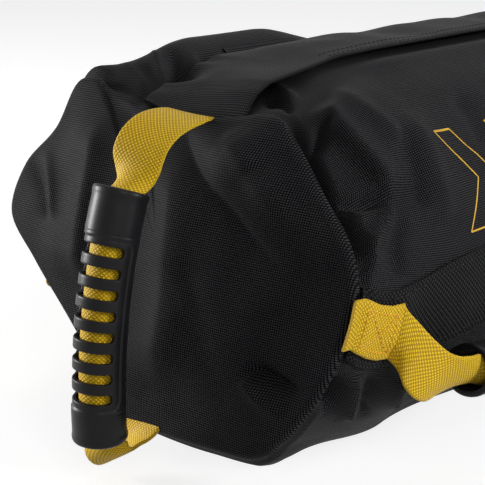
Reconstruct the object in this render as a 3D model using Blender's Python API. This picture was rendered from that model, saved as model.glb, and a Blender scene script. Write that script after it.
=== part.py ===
"""Sandbag trainer: a sand-filled cloth roll with six webbing handles in slotted moulded grips.

The bag lies on the floor along X. Left is -X, the front is -Y and up is +Z, in metres.
The origin is on the floor, under the middle of the bag.
"""

import math

import bpy
import bmesh
from mathutils import Matrix, Vector

# Bag
BAG_HALF_LENGTH = 0.300      # middle of the bag to the top of an end seam
END_LEAN = 0.041             # an end seam's foot stands this far out past its top
END_TOP = 0.178              # height of an end handle's upper anchor, on the end seam
END_FOOT = 0.0255            # height of its lower anchor
END_HALF_WIDTH = 0.120
MID_HALF_WIDTH = 0.121
MID_HEIGHT = 0.195
CLOTH = 0.0025               # coated bag cloth with its lining
END_DOME = 0.005             # an end panel's bulge
GAP = 0.0003                 # between pieces that touch or are sewn together
OVERRUN = 0.010              # a cutter runs past what it cuts by this much

# Webbing
WEBBING = 0.0018             # thickness of the handle webbing
WEBBING_WIDTH = 0.026
BAND = 0.0016                # thickness of the side bands
BAND_WIDTH = 0.038
BAND_HEIGHT = 0.094          # height of a side band's centre line

# Moulded grip
GRIP_LENGTH = 0.130
GRIP_HALF_WIDTH = 0.0140     # across the webbing
GRIP_HALF_DEPTH = 0.0130     # towards the bag and away from it
GRIP_WALL = 0.0026
GRIP_BOW_RADIUS = 0.302
GRIP_COLLAR = 0.024          # length of the plain collar at each mouth
GRIP_STEP = 0.0009           # the slotted middle lies this much lower than the collars
GRIP_LIP = 0.0012            # rounding of a mouth's outer edge
SLOT_COUNT = 8
SLOT_WIDTH = 0.0048
SLOT_PITCH = 0.0101
SLOT_FLOOR = 0.0027          # a slot stops this far short of the grip's middle plane
WEBBING_CURL = 0.0086        # radius to which the webbing curls inside a grip

# End handles
END_GRIP_REACH = 0.043       # hinge line to the grip's middle
END_GRIP_HEIGHT = 0.051      # lower anchor to the grip's middle, along the hinge line
END_GRIP_TILT = math.radians(6.7)
END_ARC = 0.018              # the webbing turns about its anchor on an arc of this radius
END_ARC_GAP = 0.0005

# Side handles
SIDE_FROM_END = 0.110        # top of an end seam to a handle's middle
SIDE_HANDLE_X = BAG_HALF_LENGTH - SIDE_FROM_END
SIDE_FOOT = 0.033            # length of a sewn webbing end
SIDE_FOOT_GAP = 0.0009       # between a sewn end and the band
SIDE_SPAN = 0.098            # handle's middle to its sewn ends
SIDE_GRIP_REACH = 0.054      # hinge line to the grip's middle
SIDE_GRIP_SLANT = math.radians(9)

# Storm flap
FLAP = 0.0018
FLAP_END_LENGTH = 0.072      # of a sewn-down end
FLAP_HALF_LENGTH = BAG_HALF_LENGTH - FLAP_END_LENGTH
FLAP_HINGE_Y = 0.036
FLAP_HINGE_LIFT = 0.0022     # hinge line above the bag
FLAP_HINGE_Z = MID_HEIGHT + FLAP_HINGE_LIFT
FLAP_EDGE_Y = -0.028
FLAP_RIDGE = 0.0112          # ridge above the hinge line
FLAP_END_GAP = 0.0009        # between the sewn-down stretches and the bag
FLAP_HEM = 0.009             # width of the sewn edge behind the hinge line

# Zip
ZIP_FROM_END = 0.0675        # top of an end seam to the zip's end
ZIP_HALF_LENGTH = BAG_HALF_LENGTH - ZIP_FROM_END
SLIT_HALF_WIDTH = 0.008
TAPE = 0.0010
TAPE_WIDTH = 0.013
TEETH_WIDTH = 0.0035
TEETH_HEIGHT = 0.0034
TEETH_GAP = 0.0014           # between the two rows
STOP_LENGTH = 0.004
SLIDER_LENGTH = 0.016
SLIDER_HALF_WIDTH = 0.0064
SLIDER_PLATE = 0.0016
SLIDER_CLEARANCE = 0.0004
SLIDER_WEB = 0.0008
SLIDER_LIP = 0.0008
BAIL = 0.0016
BAIL_WIDTH = 0.0024
BAIL_CLEAR_HEIGHT = 0.0035
BAIL_FRONT = 0.0036          # hinge pin to the bail's front
BAIL_BACK = 0.0060           # hinge pin to the bail's back
PULLER = 0.0016
PULLER_PIN = 0.0009          # half the hinge pin's thickness
PULLER_EYE = 0.0060          # hinge pin to the end of the eye
PULLER_LENGTH = 0.024
PULLER_HALF_WIDTH = 0.0040
PULLER_CHEEK = 0.0018

# Filler bags
FILLER_COUNT = 3
FILLER_GAP = 0.0025          # half the room between two filler bags
FILLER_SPACING = ZIP_HALF_LENGTH * 2 / FILLER_COUNT
FILLER_HALF_LENGTH = FILLER_SPACING / 2 - FILLER_GAP
FILLER_SIDE_GAP = 0.0105     # between a filler bag and the bag cloth
FILLER_HALF_WIDTH = MID_HALF_WIDTH - CLOTH - FILLER_SIDE_GAP
FILLER_HEADROOM = 0.043      # neck's foot to the top of the bag
FILLER_BELLY = MID_HEIGHT - FILLER_HEADROOM
FILLER_CLOTH = 0.0012
NECK_HALF_LENGTH = 0.050
NECK_HALF_WIDTH = 0.006
NECK_HEIGHT = 0.016

# Cross-sections, as shares of a half width and a height, from the top down the front
# and up the back. The middle one is the same front and back and is pressed flat on the floor.
HALF_MID_SHARES = [
    (0.17, 1.00), (0.36, 0.992), (0.60, 0.94), (0.81, 0.815), (0.95, 0.65),
    (1.00, 0.49), (0.967, 0.32), (0.843, 0.154), (0.628, 0.03), (0.33, -0.01),
]
END_SHARES = [
    (0.00, 1.00), (-0.217, 1.017), (-0.425, 1.034), (-0.575, 0.961), (-0.733, 0.854),
    (-0.90, 0.742), (-0.975, 0.618), (-0.942, 0.449), (-0.842, 0.292), (-0.683, 0.174),
    (-0.35, 0.146), (-0.042, 0.143), (0.167, 0.157), (0.40, 0.27), (0.60, 0.371),
    (0.817, 0.494), (1.017, 0.629), (1.025, 0.775), (0.917, 0.933), (0.717, 1.056),
    (0.433, 1.045), (0.20, 1.006),
]
SIDE_BULGE_SHARE = 0.2       # how far a side strap stands out, as a share of its width
TAPER_SHARE = 0.22           # share of the half length over which the ends close in
STATION_SHARES = [-1, -0.955, -0.91, -0.86, -0.78, -0.4, 0, 0.4, 0.78, 0.86, 0.91, 0.955, 1]
SIDES_AROUND = 32
FRONT_TOP_SHARE = 4 / 22     # the side faces lie between these two shares around the bag
FRONT_FOOT_SHARE = 9 / 22

# A filler bag's belly: half length, half width and height, from the foot up
POUCH_SHARES = [
    (0.72, 0.43, 0), (0.93, 0.76, 0.10), (1.0, 0.96, 0.32), (1.0, 1.0, 0.58),
    (0.96, 0.90, 0.80), (0.86, 0.62, 0.95),
]


def remove_everything():
    for thing in list(bpy.data.objects):
        bpy.data.objects.remove(thing, do_unlink=True)


def material(name, colour, roughness, metallic=0.0):
    """A Principled material in linear colour."""
    made = bpy.data.materials.new(name)
    made.use_nodes = True
    shader = made.node_tree.nodes["Principled BSDF"]
    shader.inputs["Base Color"].default_value = (*colour, 1)
    shader.inputs["Roughness"].default_value = roughness
    shader.inputs["Metallic"].default_value = metallic
    made.diffuse_color = (*colour, 1)
    return made


def finishes():
    return {
        "cloth": material("bag_cloth", (0.012, 0.012, 0.013), 0.8),
        "band": material("band_webbing", (0.014, 0.014, 0.015), 0.75),
        "webbing": material("yellow_webbing", (0.80, 0.48, 0.02), 0.7),
        "grip": material("moulded_grip", (0.026, 0.026, 0.028), 0.5),
        "zip": material("zip_coil", (0.02, 0.02, 0.02), 0.45),
        "metal": material("zip_metal", (0.30, 0.30, 0.31), 0.35, 1.0),
        "filler": material("filler_cloth", (0.05, 0.05, 0.052), 0.8),
        "sand": material("sand", (0.52, 0.40, 0.24), 0.95),
    }


def mesh_from(name, bm):
    """Turn a closed bmesh into a mesh whose faces point out, shaded smooth between its edges."""
    bmesh.ops.recalc_face_normals(bm, faces=bm.faces)
    mesh = bpy.data.meshes.new(name)
    bm.to_mesh(mesh)
    bm.free()
    mesh.shade_smooth()
    mesh.set_sharp_from_angle(angle=math.radians(40))
    return mesh


def place(name, mesh, finish, parent=None):
    """Add an object to the scene and, where it has one, under its parent."""
    if finish.name not in mesh.materials:
        mesh.materials.append(finish)
    made = bpy.data.objects.new(name, mesh)
    bpy.context.scene.collection.objects.link(made)
    made.parent = parent
    return made


def hinge(name, matrix):
    """An empty on a joint's axis, which carries what the joint moves."""
    made = bpy.data.objects.new(name, None)
    bpy.context.scene.collection.objects.link(made)
    made.matrix_world = matrix
    return made


def two_faces(bm, first, second, i, j):
    """Fill one cell between two rows, folded along its diagonal."""
    bm.faces.new((first[i], first[j], second[j]))
    bm.faces.new((first[i], second[j], second[i]))


def ring_loft(name, rings, wrap=False, hollow=False):
    """Join closed rings of points, capped at both ends, or joined to each other by wrap.

    Where the loft wraps or is hollow, its second half comes back inside the first.
    """
    bm = bmesh.new()
    made = [[bm.verts.new(point) for point in ring] for ring in rings]
    count = len(rings[0])
    pairs = list(zip(made, made[1:]))
    if wrap:
        pairs.append((made[-1], made[0]))
    for index, (first, second) in enumerate(pairs):
        if (wrap or hollow) and index * 2 >= len(rings):
            first, second = second, first
        for i in range(count):
            two_faces(bm, first, second, i, (i + 1) % count)
    if not wrap:
        bm.faces.new(made[0])
        bm.faces.new(made[-1])
    return mesh_from(name, bm)


def sheet_loft(name, outer_rows, inner_rows):
    """A closed sheet between two grids of points, with strips along all four edges."""
    bm = bmesh.new()
    outer = [[bm.verts.new(point) for point in row] for row in outer_rows]
    inner = [[bm.verts.new(point) for point in row] for row in inner_rows]
    last = len(outer[0]) - 1
    for grid in (outer, inner):
        for first, second in zip(grid, grid[1:]):
            for i in range(last):
                two_faces(bm, first, second, i, i + 1)
    for i in range(last):
        for row in (0, -1):
            bm.faces.new((outer[row][i], outer[row][i + 1], inner[row][i + 1], inner[row][i]))
    for j in range(len(outer) - 1):
        for end in (0, last):
            bm.faces.new((outer[j][end], outer[j + 1][end], inner[j + 1][end], inner[j][end]))
    return mesh_from(name, bm)


def prism(name, outline, depth_axis, low, high):
    """Extrude a closed outline, given in the other two axes, between two depths."""
    def point(pair, depth):
        values = list(pair)
        values.insert(depth_axis, depth)
        return values
    return ring_loft(name, [[point(pair, low) for pair in outline], [point(pair, high) for pair in outline]])


def box(name, low, high):
    """A plain block between two corners."""
    outline = [(low[1], low[2]), (high[1], low[2]), (high[1], high[2]), (low[1], high[2])]
    return prism(name, outline, 0, low[0], high[0])


def ease(value):
    """Rise smoothly from 0 to 1."""
    clamped = min(max(value, 0), 1)
    return clamped * clamped * (3 - 2 * clamped)


def through(points, position, closed=False):
    """Point on the smooth curve through the given points, where position counts them."""
    count = len(points)
    index = min(int(position), count - 1 if closed else count - 2)
    local = position - index

    def pick(i):
        return Vector(points[i % count]) if closed else Vector(points[min(max(i, 0), count - 1)])
    before, start, end, after = pick(index - 1), pick(index), pick(index + 1), pick(index + 2)
    return 0.5 * (2 * start + (end - before) * local
                  + (2 * before - 5 * start + 4 * end - after) * local ** 2
                  + (3 * start - before - 3 * end + after) * local ** 3)


def cut(mesh, cutter_mesh):
    """Take the cutter away from the mesh and give back the new mesh."""
    body = bpy.data.objects.new("body", mesh)
    cutter = bpy.data.objects.new("cutter", cutter_mesh)
    for thing in (body, cutter):
        bpy.context.scene.collection.objects.link(thing)
    cutter.hide_render = True
    cutter.display_type = "WIRE"
    boolean = body.modifiers.new("cut", "BOOLEAN")
    boolean.operation = "DIFFERENCE"
    boolean.solver = "EXACT"
    boolean.object = cutter
    depsgraph = bpy.context.evaluated_depsgraph_get()
    made = bpy.data.meshes.new_from_object(body.evaluated_get(depsgraph))
    for thing in (body, cutter):
        bpy.data.objects.remove(thing, do_unlink=True)
    return made


# Bag surface

def mid_shares():
    """The middle cross-section: top, front, bottom and then the back in reverse."""
    front = [(-y, z) for y, z in HALF_MID_SHARES]
    back = list(reversed(HALF_MID_SHARES))
    return [(0, 1), *front, (0, -0.01), *back]


def controls(blend):
    """Control points of a cross-section, from an end's outline at 0 to the middle's at 1."""
    pairs = zip(END_SHARES, mid_shares())
    return [((1 - blend) * ey * END_HALF_WIDTH + blend * my * MID_HALF_WIDTH,
             (1 - blend) * ez * END_TOP + blend * mz * MID_HEIGHT) for (ey, ez), (my, mz) in pairs]


def blend_at(share):
    """How far the cross-section has opened at a share of the half length from the middle."""
    return ease((1 - abs(share)) / TAPER_SHARE)


def section(share, around):
    """Height and side place on the bag's outline, which the floor presses flat."""
    points = controls(blend_at(share))
    place_yz = through(points, (around % 1) * len(points), closed=True)
    return Vector((place_yz[0], max(place_yz[1], 0)))


def surface(share, around, out=0):
    """Point on the bag's outside, moved out along the cross-section's own normal."""
    step = 0.5 / (len(END_SHARES) * 20)
    here = section(share, around)
    along = (section(share, around + step) - section(share, around - step)).normalized()
    y = here[0] + along[1] * out
    z = here[1] - along[0] * out
    lean = END_LEAN * (END_TOP - z) / (END_TOP - END_FOOT) * (1 - blend_at(share))
    return Vector((math.copysign(abs(share) * BAG_HALF_LENGTH + lean, share) if share else 0, y, z))


def around_at_height(share, height):
    """Share around the bag at which its front face has a height."""
    high, low = FRONT_TOP_SHARE, FRONT_FOOT_SHARE
    for _ in range(30):
        middle = (low + high) / 2
        if section(share, middle)[1] > height:
            high = middle
        else:
            low = middle
    return middle


def band_turns():
    """Shares around the bag of a front band's upper edge, middle and lower edge."""
    return [around_at_height(0, BAND_HEIGHT + BAND_WIDTH * shift) for shift in (0.5, 0, -0.5)]


def cloth_turns():
    """Shares around the bag of the cloth's corners, some of which are the bands' edges."""
    turns = [i / SIDES_AROUND for i in range(SIDES_AROUND)]
    for turn in band_turns():
        for exact in (turn, 1 - turn):
            nearest = min(range(SIDES_AROUND), key=lambda i: abs(turns[i] - exact))
            turns[nearest] = exact
    return turns


def on_cloth(share, around, out):
    """Point on the flat facets between the cloth's corners, moved out from them."""
    turns = cloth_turns() + [1]
    column = max(i for i in range(SIDES_AROUND) if turns[i] <= around)
    across = (around - turns[column]) / (turns[column + 1] - turns[column])
    row = max(i for i in range(len(STATION_SHARES) - 1) if STATION_SHARES[i] <= share)
    along = (share - STATION_SHARES[row]) / (STATION_SHARES[row + 1] - STATION_SHARES[row])
    near, far = STATION_SHARES[row], STATION_SHARES[row + 1]
    corners = [surface(end, turns[column + i], out) for end in (near, far) for i in (0, 1)]
    if across > along:
        return corners[0] + (corners[1] - corners[0]) * across + (corners[3] - corners[1]) * along
    return corners[0] + (corners[2] - corners[0]) * along + (corners[3] - corners[2]) * across


def share_at(x, around):
    """Share of the half length at which the cloth reaches a place along the bag."""
    low, high = 0, 1
    for _ in range(30):
        middle = (low + high) / 2
        if on_cloth(middle, around, 0)[0] < abs(x):
            low = middle
        else:
            high = middle
    return math.copysign(low, x)


def layer(name, starts, ends, turns, inner, thickness):
    """A layer on the cloth at rising shares around it, each with its own start and end along it."""
    rows = [starts] + [[share] * len(turns) for share in STATION_SHARES
                       if max(starts) < share < min(ends)] + [ends]
    outer_rows = [[on_cloth(*at, inner + thickness) for at in zip(row, turns)] for row in rows]
    inner_rows = [[on_cloth(*at, inner) for at in zip(row, turns)] for row in rows]
    return sheet_loft(name, outer_rows, inner_rows)


def facing(turns, side):
    """The same shares on the front (-1) or on the back (1), rising."""
    return turns if side < 0 else sorted(1 - turn for turn in turns)


def body_panel(finish):
    """The roll of cloth, open at both ends and slit along the top for the zip."""
    turns = cloth_turns()
    outer = [[surface(share, turn) for turn in turns] for share in STATION_SHARES]
    inner = [[surface(share, turn, -CLOTH) for turn in turns] for share in reversed(STATION_SHARES)]
    roll = ring_loft("body_panel", outer + inner, wrap=True)
    slit_end = ZIP_HALF_LENGTH + GAP
    slit = box("slit", (-slit_end, -SLIT_HALF_WIDTH, MID_HEIGHT - OVERRUN),
               (slit_end, SLIT_HALF_WIDTH, MID_HEIGHT + OVERRUN))
    return place("body_panel", cut(roll, slit), finish)


def end_frame(side):
    """Frame of an end: X away from the bag, Y across, Z up the hinge line from the lower anchor."""
    up = Vector((-END_LEAN * side, 0, END_TOP - END_FOOT)).normalized()
    away = Vector((up.z * side, 0, -up.x * side))
    across = up.cross(away)
    foot = Vector(((BAG_HALF_LENGTH + END_LEAN) * side, 0, END_FOOT))
    matrix = Matrix((away, across, up)).transposed().to_4x4()
    matrix.translation = foot
    return matrix


def end_panel(name, side, finish):
    """A slack round end: a dished sheet whose edge meets the roll of cloth all round."""
    frame = end_frame(side)
    back = frame.inverted()
    edge = [back @ surface(side, turn) for turn in cloth_turns()]
    centre = sum(edge, Vector()) / len(edge)
    rings = []
    for share in (1, 0.72, 0.36):
        rise = END_DOME * (1 - share * share)
        rings.append([centre + (point - centre) * share + Vector((GAP + CLOTH + rise, 0, 0)) for point in edge])
    inner = [point + Vector((GAP, 0, 0)) for point in edge]
    mesh = ring_loft(name, [inner] + rings)
    panel = place(name, mesh, finish)
    panel.matrix_world = frame
    return panel


def bands(finish):
    for name, side in (("band_front", -1), ("band_back", 1)):
        turns = facing(band_turns(), side)
        mesh = layer(name, [-1] * len(turns), [1] * len(turns), turns, GAP, BAND)
        place(name, mesh, finish)


# Moulded grip, in its own frame: X away from the bag, Y across, Z along, bowed away

def grip_point(along, out, across):
    """Point of the bowed grip at a length along its centre line."""
    angle = along / GRIP_BOW_RADIUS
    reach = GRIP_BOW_RADIUS + out
    return Vector((reach * math.cos(angle) - GRIP_BOW_RADIUS, across, reach * math.sin(angle)))


def grip_ring(along, inset, sides=12):
    """An oval ring round the centre line, this much smaller than the grip's outside."""
    turns = [2 * math.pi * (i + 0.5) / sides for i in range(sides)]
    return [grip_point(along, (GRIP_HALF_DEPTH - inset) * math.cos(turn),
                       (GRIP_HALF_WIDTH - inset) * math.sin(turn)) for turn in turns]


def grip_shell():
    """The oval tube: rounded mouths, a collar at each end and a lower middle."""
    half = GRIP_LENGTH / 2
    collar = half - GRIP_COLLAR
    places = [(half, GRIP_LIP), (half - GRIP_LIP, 0), (collar, 0), (collar - GRIP_STEP, GRIP_STEP),
              (collar / 3, GRIP_STEP)]
    outer = [grip_ring(-along, inset) for along, inset in places]
    outer += [grip_ring(along, inset) for along, inset in reversed(places)]
    bore = [grip_ring(half * share, GRIP_WALL) for share in (1, 0.5, 0, -0.5, -1)]
    return ring_loft("grip", outer + bore, wrap=True)


def slot_cutters():
    """One cutter with a round-ended slot for each gap, drawn from the side away from the bag."""
    bm = bmesh.new()
    radius = SLOT_WIDTH / 2
    reach = GRIP_HALF_DEPTH + OVERRUN
    across = GRIP_HALF_WIDTH + OVERRUN
    floor = SLOT_FLOOR + radius
    arc = [math.pi * i / 3 for i in range(4)]
    outline = [(reach, radius)]
    outline += [(floor - radius * math.sin(turn), radius * math.cos(turn)) for turn in arc]
    outline += [(reach, -radius)]
    for i in range(SLOT_COUNT):
        centre = SLOT_PITCH * (i - (SLOT_COUNT - 1) / 2)
        turn = Matrix.Rotation(-centre / GRIP_BOW_RADIUS, 3, "Y")
        origin = grip_point(centre, 0, 0)
        rings = []
        for y in (-across, across):
            rings.append([bm.verts.new(origin + turn @ Vector((x, y, z))) for x, z in outline])
        for a in range(len(outline)):
            b = (a + 1) % len(outline)
            bm.faces.new((rings[0][a], rings[0][b], rings[1][b], rings[1][a]))
        bm.faces.new(rings[0])
        bm.faces.new(rings[1])
    return mesh_from("slots", bm)


def grip_mesh():
    made = cut(grip_shell(), slot_cutters())
    made.name = "moulded_grip"
    return made


# Webbing

def webbing(name, frames, start_arc=0, end_arc=0, columns=4):
    """A strap through frames of (place, axis across, outer normal, curl from 0 to 1).

    Arc radii cut the ends round about the Z axis, so that the strap can turn on its anchor.
    """
    outer_rows, inner_rows = [], []
    for i, (centre, wide, out, curl) in enumerate(frames):
        arc = start_arc if i == 0 else end_arc if i == len(frames) - 1 else 0
        outer_row, inner_row = [], []
        for j in range(columns + 1):
            across = WEBBING_WIDTH * (j / columns - 0.5)
            middle = centre + wide * across
            face = out
            if curl > 0:
                radius = WEBBING_CURL / curl
                turn = across / radius
                middle = centre + wide * radius * math.sin(turn) + out * radius * (math.cos(turn) - 1)
                face = wide * math.sin(turn) + out * math.cos(turn)
            if arc:
                middle = middle - Vector((arc - math.sqrt(arc ** 2 - across ** 2), 0, 0))
            outer_row.append(middle + face * WEBBING / 2)
            inner_row.append(middle - face * WEBBING / 2)
        outer_rows.append(outer_row)
        inner_rows.append(inner_row)
    return sheet_loft(name, outer_rows, inner_rows)


def grip_frames(matrix, steps=4):
    """Frames of the webbing inside a grip that stands at matrix, from its +Z mouth to the other."""
    frames = []
    turn = matrix.to_3x3()
    for i in range(steps + 1):
        along = GRIP_LENGTH * (0.5 - i / steps)
        normal = grip_point(along, 1, 0) - grip_point(along, 0, 0)
        frames.append((matrix @ grip_point(along, WEBBING_CURL, 0), turn @ Vector((0, 1, 0)), turn @ normal, 1))
    return frames


def bent_frames(bends, steps):
    """Frames along the smooth curve through bends of (x, z, outer angle, curl), all at Y = 0."""
    made = []
    for i in range(steps + 1):
        x, z, angle, curl = through(bends, (len(bends) - 1) * i / steps)
        normal = Vector((math.cos(angle), 0, math.sin(angle)))
        made.append((Vector((x, 0, z)), Vector((0, 1, 0)), normal, min(max(curl, 0), 1)))
    return made


# End handles, in the end's frame

def end_grip_matrix():
    matrix = Matrix.Rotation(END_GRIP_TILT, 4, "Y")
    matrix.translation = (END_GRIP_REACH, 0, END_GRIP_HEIGHT)
    return matrix


def anchor_height():
    """Distance between an end's two anchors, along its hinge line."""
    return math.hypot(END_LEAN, END_TOP - END_FOOT)


def end_strap():
    """Webbing from the upper arc, over and down through the grip, and back to the lower arc."""
    inside = grip_frames(end_grip_matrix())
    top = anchor_height() + WEBBING / 3
    high, low = inside[0][0], inside[-1][0]
    bottom = low.z - WEBBING_WIDTH * 0.42 - WEBBING / 3
    out, upright = 0, math.pi / 2
    over = [
        (END_ARC, top, upright, 0),
        (END_ARC * 1.6, top, upright, 0),
        (high.x * 0.84, top - WEBBING_WIDTH * 0.26, upright / 2, 0),
        (high.x * 0.99, top - WEBBING_WIDTH * 0.85, out, 0.25),
        (high.x, high.z + WEBBING_WIDTH * 0.25, END_GRIP_TILT, 0.7),
    ]
    under = [
        (low.x, low.z - WEBBING_WIDTH * 0.12, -END_GRIP_TILT * 2, 0.8),
        (low.x * 0.92, low.z - WEBBING_WIDTH * 0.30, -upright / 2, 0.4),
        (low.x * 0.72, bottom, -upright, 0.1),
        (END_ARC * 1.2, bottom, -upright, 0),
        (END_ARC, bottom, -upright, 0),
    ]
    frames = bent_frames(over, 7) + inside + bent_frames(under, 6)
    return webbing("end_strap", frames, END_ARC, END_ARC), top, bottom


def end_feet(top, bottom):
    """The two sewn ends of an end handle's webbing, from the seam out to the arcs."""
    arc = END_ARC - END_ARC_GAP
    root = GAP + CLOTH + GAP
    upright = math.pi / 2
    upper = bent_frames([(root, top, upright, 0), (arc, top, upright, 0)], 1)
    lower = bent_frames([(root + WEBBING, 0, 0, 0), (root + WEBBING, bottom * 0.35, 0, 0),
                         (root + WEBBING * 2.2, bottom * 0.78, upright / 2, 0), (arc, bottom, upright, 0)], 4)
    return webbing("end_foot_upper", upper, 0, arc), webbing("end_foot_lower", lower, 0, arc)


def end_handles(paint, grip):
    strap, top, bottom = end_strap()
    upper, lower = end_feet(top, bottom)
    for name, side in (("left", -1), ("right", 1)):
        frame = end_frame(side)
        pivot = hinge("end_handle_" + name + "_hinge", frame)
        place("end_strap_" + name, strap, paint["webbing"], pivot)
        end_grip = place("end_grip_" + name, grip, paint["grip"], pivot)
        end_grip.matrix_local = end_grip_matrix()
        for label, mesh in (("upper", upper), ("lower", lower)):
            foot = place("end_foot_" + name + "_" + label, mesh, paint["webbing"])
            foot.matrix_world = frame


# Side handles, in a frame on the hinge line: X along the bag, -Y out from it, Z up

def side_hinge_place():
    """The hinge line runs along the upper edge of the sewn ends, at half the webbing."""
    out = MID_HALF_WIDTH + GAP + BAND + SIDE_FOOT_GAP + WEBBING / 2
    return out, BAND_HEIGHT + WEBBING_WIDTH / 2


def side_grip_matrix():
    out = Vector((0, -math.sin(SIDE_GRIP_SLANT), -math.cos(SIDE_GRIP_SLANT)))
    along = Vector((1, 0, 0))
    matrix = Matrix((out, along.cross(out), along)).transposed().to_4x4()
    matrix.translation = out * SIDE_GRIP_REACH
    return matrix


def side_strap(x, side, steps=7):
    """Webbing from one sewn end, twisting down through the grip, and up to the other."""
    inside = grip_frames(side_grip_matrix())
    turns = facing(band_turns(), side)
    rows = []
    for end, mouth in ((1, inside[0][0]), (-1, inside[-1][0])):
        share = share_at((x + SIDE_SPAN * end) * -side, turns[1])
        foot = on_cloth(share, turns[1], GAP + BAND + SIDE_FOOT_GAP + WEBBING / 2)
        start = Vector(((SIDE_SPAN - GAP) * end, side_hinge_place()[0] - abs(foot.y), -WEBBING_WIDTH / 2))
        half = []
        for i in range(steps):
            share = i / steps
            sink = ease(share)
            turn = (math.pi / 2 - SIDE_GRIP_SLANT) * sink
            centre = Vector((start.x + (mouth.x - start.x) * share, start.y + (mouth.y - start.y) * sink,
                             start.z + (mouth.z - start.z) * sink))
            bulge = WEBBING_WIDTH * SIDE_BULGE_SHARE * math.sin(math.pi * share)
            half.append((centre - Vector((0, bulge, 0)), Vector((0, math.sin(turn), -math.cos(turn))),
                         Vector((0, -math.cos(turn), -math.sin(turn))), ease(share * 2 - 1)))
        rows.append(half)
    return webbing("side_strap", rows[0] + inside + rows[1][::-1])


def foot_turns():
    """Shares around the bag of a sewn webbing end's upper edge, middle and lower edge."""
    upper, middle, lower = band_turns()
    part = WEBBING_WIDTH / BAND_WIDTH
    return [middle + (upper - middle) * part, middle, middle + (lower - middle) * part]


def side_foot(name, x_from, x_to, side, finish):
    """A sewn webbing end, flat on the band."""
    turns = facing(foot_turns(), side)
    starts, ends = [[share_at(x, turn) for turn in turns] for x in sorted((x_from, x_to))]
    place(name, layer(name, starts, ends, turns, GAP + BAND + SIDE_FOOT_GAP, WEBBING), finish)


def side_handles(paint, grip):
    out, height = side_hinge_place()
    for face, side in (("front", -1), ("back", 1)):
        for end, turn in (("left", -1), ("right", 1)):
            name = face + "_" + end
            x = SIDE_HANDLE_X * turn
            frame = Matrix.Rotation(0 if side < 0 else math.pi, 4, "Z")
            frame.translation = (x, out * side, height)
            pivot = hinge("handle_" + name + "_hinge", frame)
            place("strap_" + name, side_strap(x * -side, side), paint["webbing"], pivot)
            handle_grip = place("grip_" + name, grip, paint["grip"], pivot)
            handle_grip.matrix_local = side_grip_matrix()
            for label, way in (("outer", turn), ("inner", -turn)):
                near = x + SIDE_SPAN * way
                far = near + SIDE_FOOT * way
                side_foot("foot_" + name + "_" + label, near, far, side, paint["webbing"])


# Storm flap

def flap_line():
    """The flap's outer line across the bag, from the hinge line over the ridge to the free edge."""
    width = FLAP_HINGE_Y - FLAP_EDGE_Y
    rise_shares = [(0, 0), (0.08, 0.40), (0.19, 0.75), (0.36, 0.99), (0.55, 0.90), (0.80, 0.45), (1, 0)]
    return [(FLAP_HINGE_Y - width * y, FLAP_HINGE_Z + FLAP_RIDGE * z) for y, z in rise_shares]


def flap_rows(x):
    outer = [Vector((x, y, z)) for y, z in flap_line()]
    inner = []
    for i, point in enumerate(outer):
        along = (outer[min(i + 1, len(outer) - 1)] - outer[max(i - 1, 0)]).normalized()
        inner.append(point + Vector((0, along.z, -along.y)) * -FLAP)
    return outer, inner


def storm_flap(finish):
    pivot = hinge("storm_flap_hinge", Matrix.Translation((0, FLAP_HINGE_Y, FLAP_HINGE_Z)))
    rows = [flap_rows(x) for x in (-FLAP_HALF_LENGTH, FLAP_HALF_LENGTH)]
    mesh = sheet_loft("storm_flap", [row[0] for row in rows], [row[1] for row in rows])
    mesh.transform(pivot.matrix_world.inverted())
    place("storm_flap", mesh, finish, pivot)


def flap_end(name, side, finish):
    """The sewn-down stretch between the opening part and an end seam, where the ridge runs out."""
    line = flap_line()
    inner_x = FLAP_HALF_LENGTH + GAP
    outer_rows, inner_rows = [], []
    for i in range(5):
        sink = i / 4
        share = (inner_x + (BAG_HALF_LENGTH - inner_x) * sink) / BAG_HALF_LENGTH
        standing = flap_rows(share * BAG_HALF_LENGTH * side)
        lying = [on_cloth(share * side, around_top(share, y) % 1, 0) for y, _ in line]
        weight = ease(sink)
        outer_rows.append([stand.lerp(lie + Vector((0, 0, FLAP_END_GAP + FLAP)), weight)
                           for stand, lie in zip(standing[0], lying)])
        inner_rows.append([stand.lerp(lie + Vector((0, 0, FLAP_END_GAP)), weight)
                           for stand, lie in zip(standing[1], lying)])
    place(name, sheet_loft(name, outer_rows, inner_rows), finish)


def around_top(share, y):
    """Share around the bag where its top has a place across."""
    low, high = -FRONT_TOP_SHARE, FRONT_TOP_SHARE
    for _ in range(30):
        middle = (low + high) / 2
        if section(share, middle)[0] > y:
            low = middle
        else:
            high = middle
    return middle


def flap_hem(finish):
    """The flap's sewn edge, flat on the bag behind the hinge line."""
    end = FLAP_HALF_LENGTH / BAG_HALF_LENGTH
    near = around_top(0, FLAP_HINGE_Y + FLAP) % 1
    far = around_top(0, FLAP_HINGE_Y + FLAP + FLAP_HEM) % 1
    turns = [far] + [turn for turn in cloth_turns() if far < turn < near] + [near]
    mesh = layer("flap_hem", [-end] * len(turns), [end] * len(turns), turns, GAP, FLAP / 2)
    place("flap_hem", mesh, finish)


# Zip

def zip_levels():
    """Heights of the tapes' upper face and of the teeth's lower and upper faces."""
    tape_top = MID_HEIGHT - CLOTH - GAP
    middle = tape_top - TAPE / 2
    return tape_top, middle - TEETH_HEIGHT / 2, middle + TEETH_HEIGHT / 2


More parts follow.
